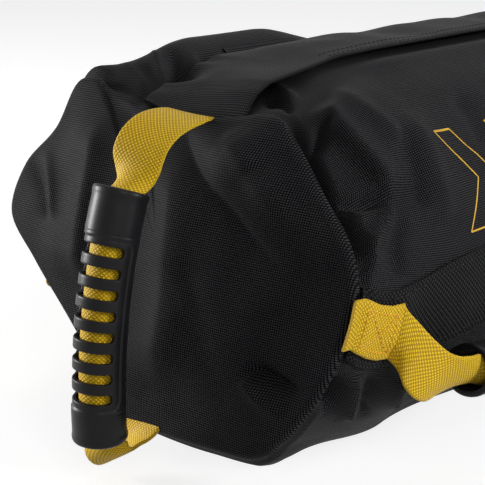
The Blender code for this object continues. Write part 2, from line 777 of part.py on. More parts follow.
def zip_rows(paint):
    tape_top, teeth_low, teeth_high = zip_levels()
    length = ZIP_HALF_LENGTH
    for name, side in (("front", -1), ("back", 1)):
        near = TEETH_GAP / 2
        far = near + TEETH_WIDTH
        low_y, high_y = sorted((near * side, far * side))
        mesh = box("zip_teeth_" + name, (-length + STOP_LENGTH + GAP, low_y, teeth_low),
                   (length - STOP_LENGTH - GAP, high_y, teeth_high))
        place("zip_teeth_" + name, mesh, paint["zip"])
        low_y, high_y = sorted(((far + GAP) * side, (far + GAP + TAPE_WIDTH) * side))
        mesh = box("zip_tape_" + name, (-length, low_y, tape_top - TAPE), (length, high_y, tape_top))
        place("zip_tape_" + name, mesh, paint["band"])
    for name, side in (("left", -1), ("right", 1)):
        low_x, high_x = sorted((length * side, (length - STOP_LENGTH) * side))
        reach = TEETH_GAP / 2 + TEETH_WIDTH
        mesh = box("zip_stop_" + name, (low_x, -reach, teeth_low), (high_x, reach, teeth_high))
        place("zip_stop_" + name, mesh, paint["metal"])


def slider_outline(widen):
    """The slider's cross-section: two plates with inward lips, joined by a web between the teeth."""
    tape_top, teeth_low, teeth_high = zip_levels()
    wide = SLIDER_HALF_WIDTH * widen
    web = SLIDER_WEB / 2
    upper_low = teeth_high + SLIDER_CLEARANCE
    upper_high = upper_low + SLIDER_PLATE
    lower_high = teeth_low - SLIDER_CLEARANCE
    lower_low = lower_high - SLIDER_PLATE
    upper_lip = tape_top + SLIDER_CLEARANCE
    lower_lip = tape_top - TAPE - SLIDER_CLEARANCE
    lip = wide - SLIDER_LIP
    right = [(wide, lower_low), (wide, lower_lip), (lip, lower_lip), (lip, lower_high), (web, lower_high),
             (web, upper_low), (lip, upper_low), (lip, upper_lip), (wide, upper_lip), (wide, upper_high)]
    left = [(-y, z) for y, z in reversed(right)]
    return right + left, upper_high


def slider_place():
    """The slider rests against the left stop."""
    return -(ZIP_HALF_LENGTH - STOP_LENGTH - GAP * 5 - SLIDER_LENGTH / 2)


def zip_slider(paint):
    """The slider with its bail, one body, and the puller hinged in it."""
    centre = slider_place()
    half = SLIDER_LENGTH / 2
    rings = []
    for x, widen in ((-half, 0.86), (-half * 0.4, 1), (half, 1)):
        outline, top = slider_outline(widen)
        rings.append([Vector((x, y, z)) for y, z in outline])
    bm = bmesh.new()
    bm.from_mesh(ring_loft("zip_slider", rings))
    bail_high = top + BAIL_CLEAR_HEIGHT
    arch = [(-BAIL_BACK, top), (-BAIL_BACK, bail_high), (-BAIL_BACK + BAIL, bail_high + BAIL),
            (BAIL_FRONT - BAIL, bail_high + BAIL), (BAIL_FRONT, bail_high), (BAIL_FRONT, top),
            (BAIL_FRONT - BAIL, top), (BAIL_FRONT - BAIL, bail_high), (-BAIL_BACK + BAIL, bail_high),
            (-BAIL_BACK + BAIL, top)]
    plate = bpy.data.meshes.new("plate")
    bm.to_mesh(plate)
    bm.free()
    arch = [(x, z - SLIDER_PLATE / 2 if z == top else z) for x, z in arch]
    bail = prism("bail", arch, 1, -BAIL_WIDTH / 2, BAIL_WIDTH / 2)
    joined = union(plate, bail)
    pivot = hinge("zip_slider_place", Matrix.Translation((centre, 0, top)))
    joined.transform(Matrix.Translation((0, 0, -top)))
    place("zip_slider", joined, paint["metal"], pivot)
    zip_puller(pivot, paint["metal"])


def union(mesh, other):
    """Join two overlapping meshes into one closed body."""
    body = bpy.data.objects.new("body", mesh)
    extra = bpy.data.objects.new("extra", other)
    for thing in (body, extra):
        bpy.context.scene.collection.objects.link(thing)
    boolean = body.modifiers.new("join", "BOOLEAN")
    boolean.operation = "UNION"
    boolean.solver = "EXACT"
    boolean.object = extra
    depsgraph = bpy.context.evaluated_depsgraph_get()
    made = bpy.data.meshes.new_from_object(body.evaluated_get(depsgraph))
    for thing in (body, extra):
        bpy.data.objects.remove(thing, do_unlink=True)
    return made


def zip_puller(slider, finish):
    """A flat tab whose eye goes round the bail, hinged on its own cross bar."""
    height = PULLER_PIN + PULLER / 2
    pivot = bpy.data.objects.new("zip_puller_hinge", None)
    bpy.context.scene.collection.objects.link(pivot)
    pivot.parent = slider
    pivot.location = (0, 0, height)
    half = PULLER_HALF_WIDTH
    nose = half * 0.6
    outline = [(-PULLER_PIN, -half), (PULLER_LENGTH - nose, -half), (PULLER_LENGTH, -nose),
               (PULLER_LENGTH, nose), (PULLER_LENGTH - nose, half), (-PULLER_PIN, half)]
    tab = prism("zip_puller", outline, 2, -PULLER / 2, PULLER / 2)
    eye_half = half - PULLER_CHEEK
    eye = box("eye", (PULLER_PIN, -eye_half, -OVERRUN), (PULLER_EYE, eye_half, OVERRUN))
    place("zip_puller", cut(tab, eye), finish, pivot)


# Filler bags

def pillow_ring(half_length, half_width, height, sides=10, square=2.6):
    """A rounded rectangle at a height, as a superellipse."""
    ring = []
    for i in range(sides):
        turn = 2 * math.pi * (i + 0.5) / sides
        x = math.copysign(abs(math.cos(turn)) ** (2 / square), math.cos(turn)) * half_length
        y = math.copysign(abs(math.sin(turn)) ** (2 / square), math.sin(turn)) * half_width
        ring.append((x, y, height))
    return ring


def filler_rings(inset, lift):
    """Rings of the belly, all moved in by inset."""
    rings = []
    for length, width, height in POUCH_SHARES:
        z = lift + (FILLER_BELLY - 2 * inset) * height
        rings.append(pillow_ring(FILLER_HALF_LENGTH * length - inset, FILLER_HALF_WIDTH * width - inset, z))
    return rings


def neck_ring(inset, height):
    return pillow_ring(NECK_HALF_LENGTH - inset, NECK_HALF_WIDTH - inset, height)


def filler_bag(index, paint):
    """A sand pouch with an open neck, its sand, and the folded closure over the neck."""
    x = FILLER_SPACING * (index - (FILLER_COUNT - 1) / 2)
    base = CLOTH + GAP
    shoulder = base + FILLER_BELLY
    rim = shoulder + NECK_HEIGHT
    outer = filler_rings(0, base) + [neck_ring(0, shoulder), neck_ring(0, rim)]
    inner = [neck_ring(FILLER_CLOTH, rim), neck_ring(FILLER_CLOTH, shoulder - FILLER_CLOTH)]
    inner += list(reversed(filler_rings(FILLER_CLOTH, base + FILLER_CLOTH)))
    pieces = [("filler_bag", ring_loft("filler_bag", outer + inner, hollow=True), paint["filler"])]
    sand_inset = FILLER_CLOTH + GAP
    sand = filler_rings(sand_inset, base + sand_inset)[:-1]
    pieces.append(("sand", ring_loft("sand", sand), paint["sand"]))
    fold = FILLER_CLOTH + GAP
    cap_low = shoulder + FILLER_CLOTH
    cap = [neck_ring(-GAP, cap_low), neck_ring(-fold, cap_low), neck_ring(-fold, rim + fold)]
    hollow = [neck_ring(-GAP, rim + GAP)]
    pieces.append(("filler_closure", ring_loft("filler_closure", hollow + cap), paint["band"]))
    for name, mesh, finish in pieces:
        made = place(name + "_" + str(index + 1), mesh, finish)
        made.location = (x, 0, 0)


def build():
    remove_everything()
    paint = finishes()
    body_panel(paint["cloth"])
    for name, side in (("end_panel_left", -1), ("end_panel_right", 1)):
        end_panel(name, side, paint["cloth"])
    bands(paint["band"])
    grip = grip_mesh()
    end_handles(paint, grip)
    side_handles(paint, grip)
    storm_flap(paint["cloth"])
    flap_end("flap_end_left", -1, paint["cloth"])
    flap_end("flap_end_right", 1, paint["cloth"])
    flap_hem(paint["cloth"])
    zip_rows(paint)
    zip_slider(paint)
    for index in range(FILLER_COUNT):
        filler_bag(index, paint)


build()
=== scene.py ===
# %% [markdown]
# # A sandbag trainer, dressed in Blender
# This is a gym bag filled with sand. It is a roll of coated black cloth with a slack panel at each
# end, webbing bands along its sides, and six yellow webbing handles that run through moulded grips.
# The solids are done already. This file gives them the cloth, folds, thread and finishes of the
# real bag, one piece at a time, around the same joints.

import math

import bmesh
import bpy
import numpy as np
from mathutils import Matrix, Vector


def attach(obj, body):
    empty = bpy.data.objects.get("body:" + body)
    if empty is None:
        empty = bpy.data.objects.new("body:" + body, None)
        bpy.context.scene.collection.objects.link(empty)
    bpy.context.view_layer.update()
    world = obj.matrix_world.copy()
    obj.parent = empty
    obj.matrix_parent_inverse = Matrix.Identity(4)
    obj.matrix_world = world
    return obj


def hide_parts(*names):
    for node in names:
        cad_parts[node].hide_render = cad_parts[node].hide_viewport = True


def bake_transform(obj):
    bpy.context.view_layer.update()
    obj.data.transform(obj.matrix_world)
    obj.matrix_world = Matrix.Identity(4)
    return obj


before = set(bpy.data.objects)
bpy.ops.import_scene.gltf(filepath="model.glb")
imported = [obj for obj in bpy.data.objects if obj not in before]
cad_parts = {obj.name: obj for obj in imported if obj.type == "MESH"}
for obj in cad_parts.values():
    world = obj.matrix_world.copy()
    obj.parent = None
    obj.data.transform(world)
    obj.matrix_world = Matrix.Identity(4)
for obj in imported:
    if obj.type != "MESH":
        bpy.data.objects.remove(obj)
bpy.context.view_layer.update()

# %% [markdown]
# ## Camera
# The picture is taken from the left end of the bag, a little above it, with a long lens. The lens
# was worked out from the bag's own edges, so it is written in pixels of the square picture. Folds
# can then be drawn where the picture shows them, through the same camera.

# %% Set up the camera
PHOTO_SIDE = 485
FOCAL_PIXELS = 1330
SENSOR = 36                      # mm, as on any full-frame camera
CAMERA_PLACE = Vector((-0.781, -0.4483, 0.2991))
CAMERA_TURN = math.radians(41)
CAMERA_DIP = math.radians(16)


def shown(name, data):
    """A new object in the scene."""
    made = bpy.data.objects.new(name, data)
    bpy.context.scene.collection.objects.link(made)
    return made


def frame_of(x_way, y_way, z_way, place):
    """A matrix from three axes and a place."""
    made = Matrix((x_way, y_way, z_way)).transposed().to_4x4()
    made.translation = place
    return made


level = math.cos(CAMERA_DIP)
looking = Vector((math.cos(CAMERA_TURN) * level, math.sin(CAMERA_TURN) * level, -math.sin(CAMERA_DIP)))
rightward = Vector((math.sin(CAMERA_TURN), -math.cos(CAMERA_TURN), 0))
upward = rightward.cross(looking)

camera_data = bpy.data.cameras.new("camera")
camera_data.sensor_width = SENSOR
camera_data.lens = FOCAL_PIXELS / PHOTO_SIDE * SENSOR
camera = shown("camera", camera_data)
camera.matrix_world = frame_of(rightward, upward, -looking, CAMERA_PLACE)
bpy.context.scene.camera = camera
print("lens", round(camera_data.lens, 1), "mm")


def pixels_of(points):
    """Where points land in the square picture, in pixels from its top left corner."""
    gap = points - np.array(CAMERA_PLACE)
    depth = gap @ np.array(looking)
    across = gap @ np.array(rightward) / depth
    down = -(gap @ np.array(upward)) / depth
    return np.stack((across, down), -1) * FOCAL_PIXELS + PHOTO_SIDE / 2


# %% [markdown]
# ## Light and floor
# Black cloth shows its folds only where light grazes it, so the large soft lamps stand low, behind
# the bag on the left and in front of its side, with weak ones above and at the left. The floor is
# pale grey paper, which throws little light back on the cloth. It glows for the camera, in
# reflections and through glass, so it looks white there and still keeps the shadow.

# %% Lamps, sky and floor
FLOOR_HALF = 6
FLOOR_DROP = 0.0006              # keeps the paper clear of the bag's flat underside


def linear(hex_colour):
    """A colour written as sRGB hex, as the linear values that Blender works in."""
    parts = [int(hex_colour[i:i + 2], 16) / 255 for i in (1, 3, 5)]
    return tuple(p / 12.92 if p <= 0.04045 else ((p + 0.055) / 1.055) ** 2.4 for p in parts) + (1,)


def add(tree, kind, settings=None, links=None):
    """Add a shader node, set its properties, and give its sockets a value or another socket."""
    made = tree.nodes.new("ShaderNode" + kind)
    for name, value in (settings or {}).items():
        setattr(made, name, value)
    for name, value in (links or {}).items():
        socket = made.inputs[name]
        if isinstance(value, bpy.types.NodeSocket):
            tree.links.new(value, socket)
        else:
            socket.default_value = value
    return made


def emptied(owner):
    """The node tree of a material or a world, with nothing in it."""
    owner.use_nodes = True
    owner.node_tree.nodes.clear()
    return owner.node_tree


def lamp(name, place, target, size, power):
    """A square soft lamp that faces a target."""
    data = bpy.data.lights.new(name, "AREA")
    data.size = size
    data.energy = power
    made = shown(name, data)
    made.location = place
    made.rotation_euler = (Vector(target) - Vector(place)).to_track_quat("-Z", "Y").to_euler()


def direct_view(tree):
    """1 where a ray comes straight from the eye, from a mirror or through glass."""
    path = add(tree, "LightPath")
    mirror = add(tree, "Math", {"operation": "MAXIMUM"},
                 {0: path.outputs["Is Camera Ray"], 1: path.outputs["Is Glossy Ray"]})
    glass = add(tree, "Math", {"operation": "MAXIMUM"},
                {0: mirror.outputs[0], 1: path.outputs["Is Transmission Ray"]})
    return glass.outputs[0]


bpy.context.scene.view_settings.view_transform = "Standard"
lamp("top_lamp", (0.2, 0.3, 2.1), (-0.1, 0, 0.1), 1.0, 4)
lamp("left_rear_lamp", (-1.0, 1.7, 0.36), (-0.2, 0, 0.1), 0.6, 40)
lamp("front_lamp", (0.4, -1.8, 0.8), (-0.15, 0, 0.1), 0.6, 26)
lamp("left_front_lamp", (-1.3, -1.4, 1.2), (-0.2, 0, 0.1), 0.8, 7)

sky = bpy.data.worlds.new("studio")
bpy.context.scene.world = sky
tree = emptied(sky)
glow = add(tree, "Background", links={"Color": linear("#FFFFFF"), "Strength": 0.12})
white = add(tree, "Background", links={"Color": linear("#FFFFFF"), "Strength": 1.0})
either = add(tree, "MixShader", links={0: direct_view(tree), 1: glow.outputs[0], 2: white.outputs[0]})
add(tree, "OutputWorld", links={"Surface": either.outputs[0]})

paper = bpy.data.materials.new("studio_paper")
tree = emptied(paper)
matt = add(tree, "BsdfDiffuse", links={"Color": linear("#B8B8B8")})
lift = add(tree, "Math", {"operation": "MULTIPLY"}, {0: direct_view(tree), 1: 0.75})
lifted = add(tree, "Emission", links={"Color": linear("#FFFFFF"), "Strength": lift.outputs[0]})
both = add(tree, "AddShader", links={0: matt.outputs[0], 1: lifted.outputs[0]})
add(tree, "OutputMaterial", links={"Surface": both.outputs[0]})

floor_mesh = bpy.data.meshes.new("floor")
corners = [(x * FLOOR_HALF, y * FLOOR_HALF, 0) for x, y in ((-1, -1), (1, -1), (1, 1), (-1, 1))]
floor_mesh.from_pydata(corners, [], [(0, 1, 2, 3)])
floor_mesh.materials.append(paper)
floor = shown("floor", floor_mesh)
floor.location.z = -FLOOR_DROP
print("4 lamps and a floor")

# %% [markdown]
# ## Cloth and webbing finishes
# The bag cloth is polyester yarn woven two over two, with a coating on its back. Each crossing
# is a small raised knuckle. The knuckles are painted a lighter grey as a highlight and the dips
# between them near black as painted shade, so the cloth looks like fine grey dots on black.
# The pattern is drawn from the piece's own flat coordinates in metres, so a thread is as wide on
# every piece. Webbing is woven thicker: its knuckles stand in slanting rows, with the same
# painted shade in the dips.

# %% Woven finishes
THREAD = 0.00115                 # between two pairs of yarn in the bag cloth
YELLOW_KNUCKLE = 0.00108         # 17 knuckles across 26 mm of webbing, in slanting rows
BAND_KNUCKLE = 0.0014
POLYESTER_IOR = 1.6


def knuckles(tree, pitch, rows):
    """1 on each raised crossing, 0 in the dips between them, in straight rows or else slanting ones."""
    flat = add(tree, "UVMap", {"uv_map": "flat"})
    scale = math.pi / pitch
    turned = add(tree, "VectorMath", {"operation": "MULTIPLY"}, {0: flat.outputs[0], 1: (scale, scale, 0)})
    sines = add(tree, "VectorMath", {"operation": "SINE"}, {0: turned.outputs[0]})
    parts = add(tree, "SeparateXYZ", links={0: sines.outputs[0]})
    crossing = add(tree, "Math", {"operation": "MULTIPLY"}, {0: parts.outputs[0], 1: parts.outputs[1]})
    if rows:
        crossing = add(tree, "Math", {"operation": "ABSOLUTE"}, {0: crossing.outputs[0]})
    low = 0.2 if rows else -0.25
    return add(tree, "MapRange", {"interpolation_type": "SMOOTHSTEP"},
               {"Value": crossing.outputs[0], "From Min": low, "From Max": 0.75}).outputs[0]


def blotches(tree, size):
    """Slow cloudy change from 0 to 1, as on a thing that was handled."""
    place = add(tree, "TexCoord")
    cloud = add(tree, "TexNoise", {}, {"Vector": place.outputs["Object"], "Scale": 1 / size, "Detail": 3.0})
    ranged = add(tree, "MapRange", links={"Value": cloud.outputs[0], "From Min": 0.35, "From Max": 0.65})
    return ranged.outputs[0]


def surfaced(tree, values, colour, height, relief, strength):
    """Give a finish its shader, with a colour and a surface raised by a height."""
    bump = add(tree, "Bump", links={"Height": height, "Distance": relief, "Strength": strength})
    shader = add(tree, "BsdfPrincipled", links={**values, "Base Color": colour, "Normal": bump.outputs[0]})
    add(tree, "OutputMaterial", links={"Surface": shader.outputs[0]})


def woven(name, pitch, painted_dip_shade, top, worn, relief, roughness, sheen, gloss=0.3, rows=False):
    """Cloth or webbing: painted shade in the dips, lighter knuckles with a painted highlight, and a cloudy
    change between two top shades.
    """
    made = bpy.data.materials.new(name)
    tree = emptied(made)
    raised = knuckles(tree, pitch, rows)
    tops = add(tree, "Mix", {"data_type": "RGBA"}, {0: blotches(tree, 0.03), 6: linear(top), 7: linear(worn)})
    # Painted light: the dark dip colour is painted shade between the knuckles, and the top shades on the
    # knuckles are partly the yarn's colour and partly a painted highlight
    colour = add(tree, "Mix", {"data_type": "RGBA"}, {0: raised, 6: linear(painted_dip_shade), 7: tops.outputs[2]})
    values = {"Roughness": roughness, "IOR": POLYESTER_IOR, "Specular IOR Level": gloss,
              "Sheen Weight": sheen, "Sheen Roughness": 0.45}
    surfaced(tree, values, colour.outputs[2], raised, relief, 0.9)
    return made


# Near black, with rows of grey dots painted on the knuckles as highlights, and painted shade in the dips
bag_cloth = woven("coated_polyester_oxford", THREAD, "#020203", "#37373A", "#404042", 0.00030,
                  0.55, 0.015, 0.02, True)
# Bright warm yellow, with painted shade in the gaps between its nubs
yellow_webbing = woven("polyester_webbing_yellow", YELLOW_KNUCKLE, "#C29408", "#FFE028", "#FCD61C",
                       0.00028, 0.60, 0.08, 0.2)
# Flat black, coarser than the cloth it is sewn to, with painted shade in its dips
black_webbing = woven("polyester_webbing_black", BAND_KNUCKLE, "#050506", "#2C2C2D", "#333334",
                      0.00040, 0.60, 0.02, 0.03)
# A plain dark grey with painted shade in its dips, so that the bags inside read as another cloth
filler_cloth = woven("ripstop_polyester", THREAD, "#2A2A2C", "#4A4A4D", "#545458", 0.00015, 0.6, 0.05)
# Dull black fuzz without any shine, with painted shade in its dips
hook_tape = woven("nylon_hook_tape", THREAD, "#060607", "#222224", "#2A2A2C", 0.0004, 0.8, 0.1)
print("woven finishes, threads", THREAD * 1000, "mm apart in the bag cloth")

# %% [markdown]
# ## Moulded and metal finishes
# The grips are injection-moulded polypropylene from a spark-eroded mould, which leaves a fine even
# grain and a satin gloss, a little glossier where hands rub it. The zip is nylon with a slider cast
# from zinc and blackened. The filling is quartz sand.

# %% Plain finishes
GRAIN = 0.00035                  # the mould's spark grain, drawn about twice its real size to show
SAND_GRAIN = 0.0006


def grained(name, values, low, high, size, relief):
    """A finish with a fine grain and a slow change between two shades."""
    made = bpy.data.materials.new(name)
    tree = emptied(made)
    place = add(tree, "TexCoord")
    grain = add(tree, "TexNoise", {}, {"Vector": place.outputs["Object"], "Scale": 1 / size, "Detail": 2.0})
    colour = add(tree, "Mix", {"data_type": "RGBA"},
                 {0: blotches(tree, 0.012), 6: linear(low), 7: linear(high)})
    surfaced(tree, values, colour.outputs[2], grain.outputs[0], relief, 0.6)
    return made


# Satin black plastic, with a soft line of light along each edge and a grain seen from close by
polypropylene = grained("moulded_polypropylene", {"Roughness": 0.36, "IOR": 1.49, "Specular IOR Level": 0.14},
                        "#161618", "#1C1C1E", GRAIN, 0.00005)
# Smoother and glossier than the tape, so that the coil shows as a line
nylon_coil = grained("nylon_zip_coil", {"Roughness": 0.4, "IOR": 1.53}, "#141415", "#1C1C1E", GRAIN, 0.00002)
# Dark metal with a dull glint
black_zinc = grained("blackened_zinc", {"Roughness": 0.38, "Metallic": 1.0}, "#3A3A3C", "#4C4C50",
                     GRAIN, 0.00002)
# Pale and gritty, the one light thing inside the bag
quartz_sand = grained("quartz_sand", {"Roughness": 0.9, "IOR": 1.54}, "#B8966A", "#D8BC90",
                      SAND_GRAIN, 0.0005)
# Thin lines along the seams, smoother than the cloth, with a weak gleam
black_thread = grained("polyester_thread_black", {"Roughness": 0.55, "IOR": POLYESTER_IOR,
                                                  "Specular IOR Level": 0.1}, "#151516", "#1E1E20",
                       GRAIN, 0.00003)
# Box stitches that are a little darker than their webbing
yellow_thread = grained("polyester_thread_yellow", {"Roughness": 0.5, "IOR": POLYESTER_IOR}, "#D79A0A",
                        "#E8AE12", GRAIN, 0.00003)
# Loose ends, the only white on the bag
white_thread = grained("polyester_thread_white", {"Roughness": 0.5, "IOR": POLYESTER_IOR}, "#C9C9C6",
                       "#DADAD6", GRAIN, 0.00003)
# Even, slightly dull yellow with no weave of its own
yellow_ink = grained("screen_printed_ink", {"Roughness": 0.5, "IOR": 1.5}, "#C8980C", "#D6A612",
                     0.002, 0.00001)
print("moulded, metal, sand, thread and ink finishes")

# %% [markdown]
# ## The bag's outline
# The solids give the bag's cross-section as 22 points in the middle and 22 at an end. A smooth
# curve runs through them, and the two sections are mixed along the length. The same sums are
# repeated here on a much finer grid, so the cloth lies exactly where the solid is.

# %% Measure the outline
BAG_HALF_LENGTH = 0.300
END_LEAN = 0.041
END_TOP = 0.178
END_FOOT = 0.0255
END_HALF_WIDTH = 0.120
MID_HALF_WIDTH = 0.121
MID_HEIGHT = 0.195
TAPER_SHARE = 0.22
CLOTH = 0.0025
GAP = 0.0003
HALF_MID = [(0.17, 1.00), (0.36, 0.992), (0.60, 0.94), (0.81, 0.815), (0.95, 0.65),
            (1.00, 0.49), (0.967, 0.32), (0.843, 0.154), (0.628, 0.03), (0.33, -0.01)]
MID_SHARES = np.array([(0, 1), *[(-y, z) for y, z in HALF_MID], (0, -0.01), *reversed(HALF_MID)])
END_SHARES = np.array([
    (0.00, 1.00), (-0.217, 1.017), (-0.425, 1.034), (-0.575, 0.961), (-0.733, 0.854),
    (-0.90, 0.742), (-0.975, 0.618), (-0.942, 0.449), (-0.842, 0.292), (-0.683, 0.174),
    (-0.35, 0.146), (-0.042, 0.143), (0.167, 0.157), (0.40, 0.27), (0.60, 0.371),
    (0.832, 0.487), (1.045, 0.614), (1.004, 0.775), (0.845, 0.905), (0.717, 1.056),
    (0.433, 1.045), (0.20, 1.006)])
COLUMNS = 240                    # around the bag, about 3 mm apart
ROWS = 221                       # along it, 1.4 mm apart at the ends and 3.4 mm in the middle
ROW_SPREAD = 0.25


def ease(value):
    """Rise smoothly from 0 to 1."""
    held = np.clip(value, 0, 1)
    return held * held * (3 - 2 * held)


def unit(vectors):
    """Vectors at a length of 1."""
    return vectors / np.maximum(np.linalg.norm(vectors, axis=-1, keepdims=True), 1e-12)


def spline(before, start, end, after, t):
    """A place on the smooth curve through four others, at a share of the way from second to third."""
    return 0.5 * (2 * start + (end - before) * t + (2 * before - 5 * start + 4 * end - after) * t ** 2
                  + (3 * start - before - 3 * end + after) * t ** 3)


def opened_at(share):
    """0 at an end seam and 1 where the bag has its full section, at a share of its half length."""
    return ease((1 - np.abs(share)) / TAPER_SHARE)


def cross_section(share, turns):
    """Side places and heights of the bag at a share of its half length and shares around it."""
    opened = opened_at(share)
    points = ((1 - opened) * END_SHARES * (END_HALF_WIDTH, END_TOP)
              + opened * MID_SHARES * (MID_HALF_WIDTH, MID_HEIGHT))
    place = (turns % 1) * len(points)
    first = np.floor(place).astype(int)
    found = spline(*(points[(first + k) % len(points)] for k in (-1, 0, 1, 2)), (place - first)[:, None])
    found[:, 1] = np.maximum(found[:, 1], 0)
    return found


def lean_at(height, share):
    """How far the end's lean carries a place outward, at a height and a share of the half length."""
    return END_LEAN * (END_TOP - height) / (END_TOP - END_FOOT) * (1 - opened_at(share))


def bag_ring(share, turns):
    """Points on the bag's outside at a share of its half length."""
    y, z = cross_section(share, turns).T
    x = math.copysign(1, share) * (abs(share) * BAG_HALF_LENGTH + lean_at(z, share))
    return np.stack((x, y, z), -1)


even = np.linspace(-1, 1, ROWS)
stations = even * (1 + ROW_SPREAD * (1 - even ** 2))
columns = np.arange(COLUMNS) / COLUMNS
plain_bag = np.array([bag_ring(share, columns) for share in stations])
print("bag outline", plain_bag.shape[0], "x", plain_bag.shape[1], "points")

# %% [markdown]
# ## Folds
# Cloth under load doesn't bend evenly. It breaks into long ridges and creases that start at the
# seams and at the handles. Each one is drawn as a line in the picture with a height in
# millimetres and a width on either side, and lifts or sinks the cloth beneath it. The right half
# and the back can't be seen, so they take the same folds in reverse, lower on the back.

# %% Draw the folds
def bell(value, middle, width):
    """A smooth bump of height 1 about a middle."""
    return np.exp(-((value - middle) / width) ** 2)


def smooth_line(points, steps=5):
    """A finer line that passes smoothly through the given points."""
    given = np.array(points, float)
    padded = np.vstack((2 * given[0] - given[1], given, 2 * given[-1] - given[-2]))
    made = [spline(*padded[i:i + 4], t) for i in range(len(given) - 1) for t in np.arange(steps) / steps]
    return np.array([*made, given[-1]])


def beside(places, line):
    """Signed distance of places from a line, negative on its left as drawn, and the share along it."""
    nearest = np.full(len(places), np.inf)
    signed, share = np.zeros(len(places)), np.zeros(len(places))
    lengths = np.linalg.norm(np.diff(line, axis=0), axis=1)
    passed = 0
    for start, end, length in zip(line, line[1:], lengths):
        step = end - start
        t = np.clip((places - start) @ step / (length * length), 0, 1)
        gap = places - start - t[:, None] * step
        distance = np.hypot(gap[:, 0], gap[:, 1])
        closer = distance < nearest
        side = np.where(step[0] * gap[:, 1] - step[1] * gap[:, 0] < 0, -1, 1)
        nearest = np.where(closer, distance, nearest)
        signed = np.where(closer, side * distance, signed)
        share = np.where(closer, (passed + t * length) / lengths.sum(), share)
        passed += length
    return signed, share


def folded(places, folds):
    """Rise of the cloth in millimetres from (line, rise, width on the left, width on the right, shape).

    A ridge fades at both ends of its line, a long one more slowly, and "from" only at its last.
    A facet is a crease with the cloth rising from it on the left.
    """
    total = np.zeros(len(places))
    for line, rise, left, right, shape in folds:
        signed, share = beside(places, smooth_line(line))
        fade = {"ridge": ease(share / 0.22) * ease((1 - share) / 0.22), "from": ease((1 - share) / 0.5),
                "long": ease(share / 0.36) * ease((1 - share) / 0.36),
                "facet": ease(share / 0.15) * ease((1 - share) / 0.4)}[shape]
        width = np.where(signed < 0, left, right)
        if shape == "facet":
            past = np.maximum(-signed, 0) / left
            bump = past * np.exp(1 - past) - 0.35 * np.exp(-3 * past - np.maximum(signed, 0) / right)
        else:
            soft = 0.22 * width
            bump = np.exp((soft - np.hypot(signed, soft)) / (0.6 * width))
        total += rise * fade * bump
    return total


# Lines in pixels on the side of the bag, widths in pixels, rises in millimetres
SIDE_FOLDS = [
    ([(322, 122), (321, 142), (312, 164)], -8.0, 4, 7, "ridge"),
    ([(300, 108), (330, 134), (356, 160), (378, 186), (396, 206)], 11.0, 36, 11, "ridge"),
    ([(326, 188), (344, 202), (368, 206), (392, 203)], -9.0, 7, 4, "ridge"),
    ([(344, 221), (364, 217), (392, 210)], 5.0, 5, 14, "ridge"),
    ([(392, 208), (376, 228), (364, 250), (366, 276)], 7.5, 14, 8, "ridge"),
    ([(402, 112), (424, 150), (438, 190), (446, 232)], 4.2, 20, 30, "ridge"),
    ([(318, 88), (372, 122), (412, 152)], 4.4, 20, 26, "ridge"),
    ([(392, 122), (410, 166), (420, 214)], -3.6, 12, 10, "ridge"),
    ([(404, 214), (397, 246), (404, 282)], -4.6, 9, 12, "ridge"),
    ([(404, 286), (400, 310), (390, 352)], 2.4, 12, 18, "ridge"),
    ([(338, 384), (334, 398), (322, 418)], -9.0, 6, 8, "from"),
    ([(354, 372), (350, 400), (344, 424)], 5.5, 10, 10, "ridge"),
    ([(376, 372), (368, 400), (366, 424)], -4.0, 9, 10, "ridge"),
    ([(406, 376), (398, 398), (400, 416)], 3.0, 10, 14, "ridge"),
    ([(452, 92), (474, 118), (486, 150)], -3.0, 14, 16, "ridge"),
]
# Lines in pixels over the far part of the top
FAR_FOLDS = [
    ([(101, 74), (122, 82), (141, 90), (156, 99)], -4.2, 6, 7, "ridge"),
    ([(150, 62), (162, 80), (171, 98)], 4.8, 8, 7, "ridge"),
    ([(170, 56), (178, 76), (181, 96)], -6.0, 7, 7, "ridge"),
    ([(190, 48), (197, 66), (194, 84)], 4.0, 8, 8, "ridge"),
    ([(112, 66), (130, 74), (148, 88)], 2.6, 5, 6, "ridge"),
    ([(224, 44), (226, 58), (216, 74)], 3.0, 10, 10, "ridge"),
]
# Lines on the plan of the bag, in millimetres along and across it, with widths in millimetres
PLAN_FOLDS = [
    ([(-300, 22), (-270, 38), (-220, 42), (-150, 43), (-80, 44)], -6.0, 9, 7, "from"),
    ([(-298, 61), (-250, 64), (-206, 64), (-160, 63), (-112, 62)], 16.3, 28, 26, "long"),
    ([(-250, -40), (-200, -42), (-100, -42), (20, -42)], 4.5, 16, 14, "ridge"),
    ([(-60, 60), (-20, 66), (60, 62), (110, 66)], 3.0, 20, 30, "ridge"),
]
# Lines in pixels where the front meets the top, by the flap's open end
NEAR_FOLDS = [
    ([(244, 102), (258, 96), (275, 90), (300, 101)], 5.0, 4, 5, "ridge"),
    ([(262, 104), (280, 102), (296, 112)], -4.5, 4, 5, "ridge"),
]
BACK_SHARE = 0.45                # folds on the back, out of the picture, have this share of the height
SEAM_FADE = 0.0035               # folds fade out this close to the end seams
# How much sand swells the foot of the roll near its ends, how far the shoulder away from the eye
# sinks there, and how far the cloth is drawn in under the side handles, in millimetres
SAND_SWELL = 8.5
FAR_SINK = 6.0
DRAWN_IN = 13.0


def brought_over(vectors, places, axis):
    """Points or directions, with those at places past the middle of an axis mirrored to its minus side."""
    mirror = np.where(np.arange(3) == axis, -1, 1)
    return np.where(places[:, axis:axis + 1] > 0, vectors * mirror, vectors)


def in_view(points, normals):
    """1 where the cloth faces the camera, 0 where it faces away."""
    to_eye = unit(np.array(CAMERA_PLACE) - points)
    return ease(((normals * to_eye).sum(1) - 0.02) / 0.25)


def outward(points):
    """Unit normals of a grid whose rows run along the bag and whose columns run around it."""
    around = np.roll(points, -1, 1) - np.roll(points, 1, 1)
    return unit(np.cross(around, np.gradient(points, axis=0)))


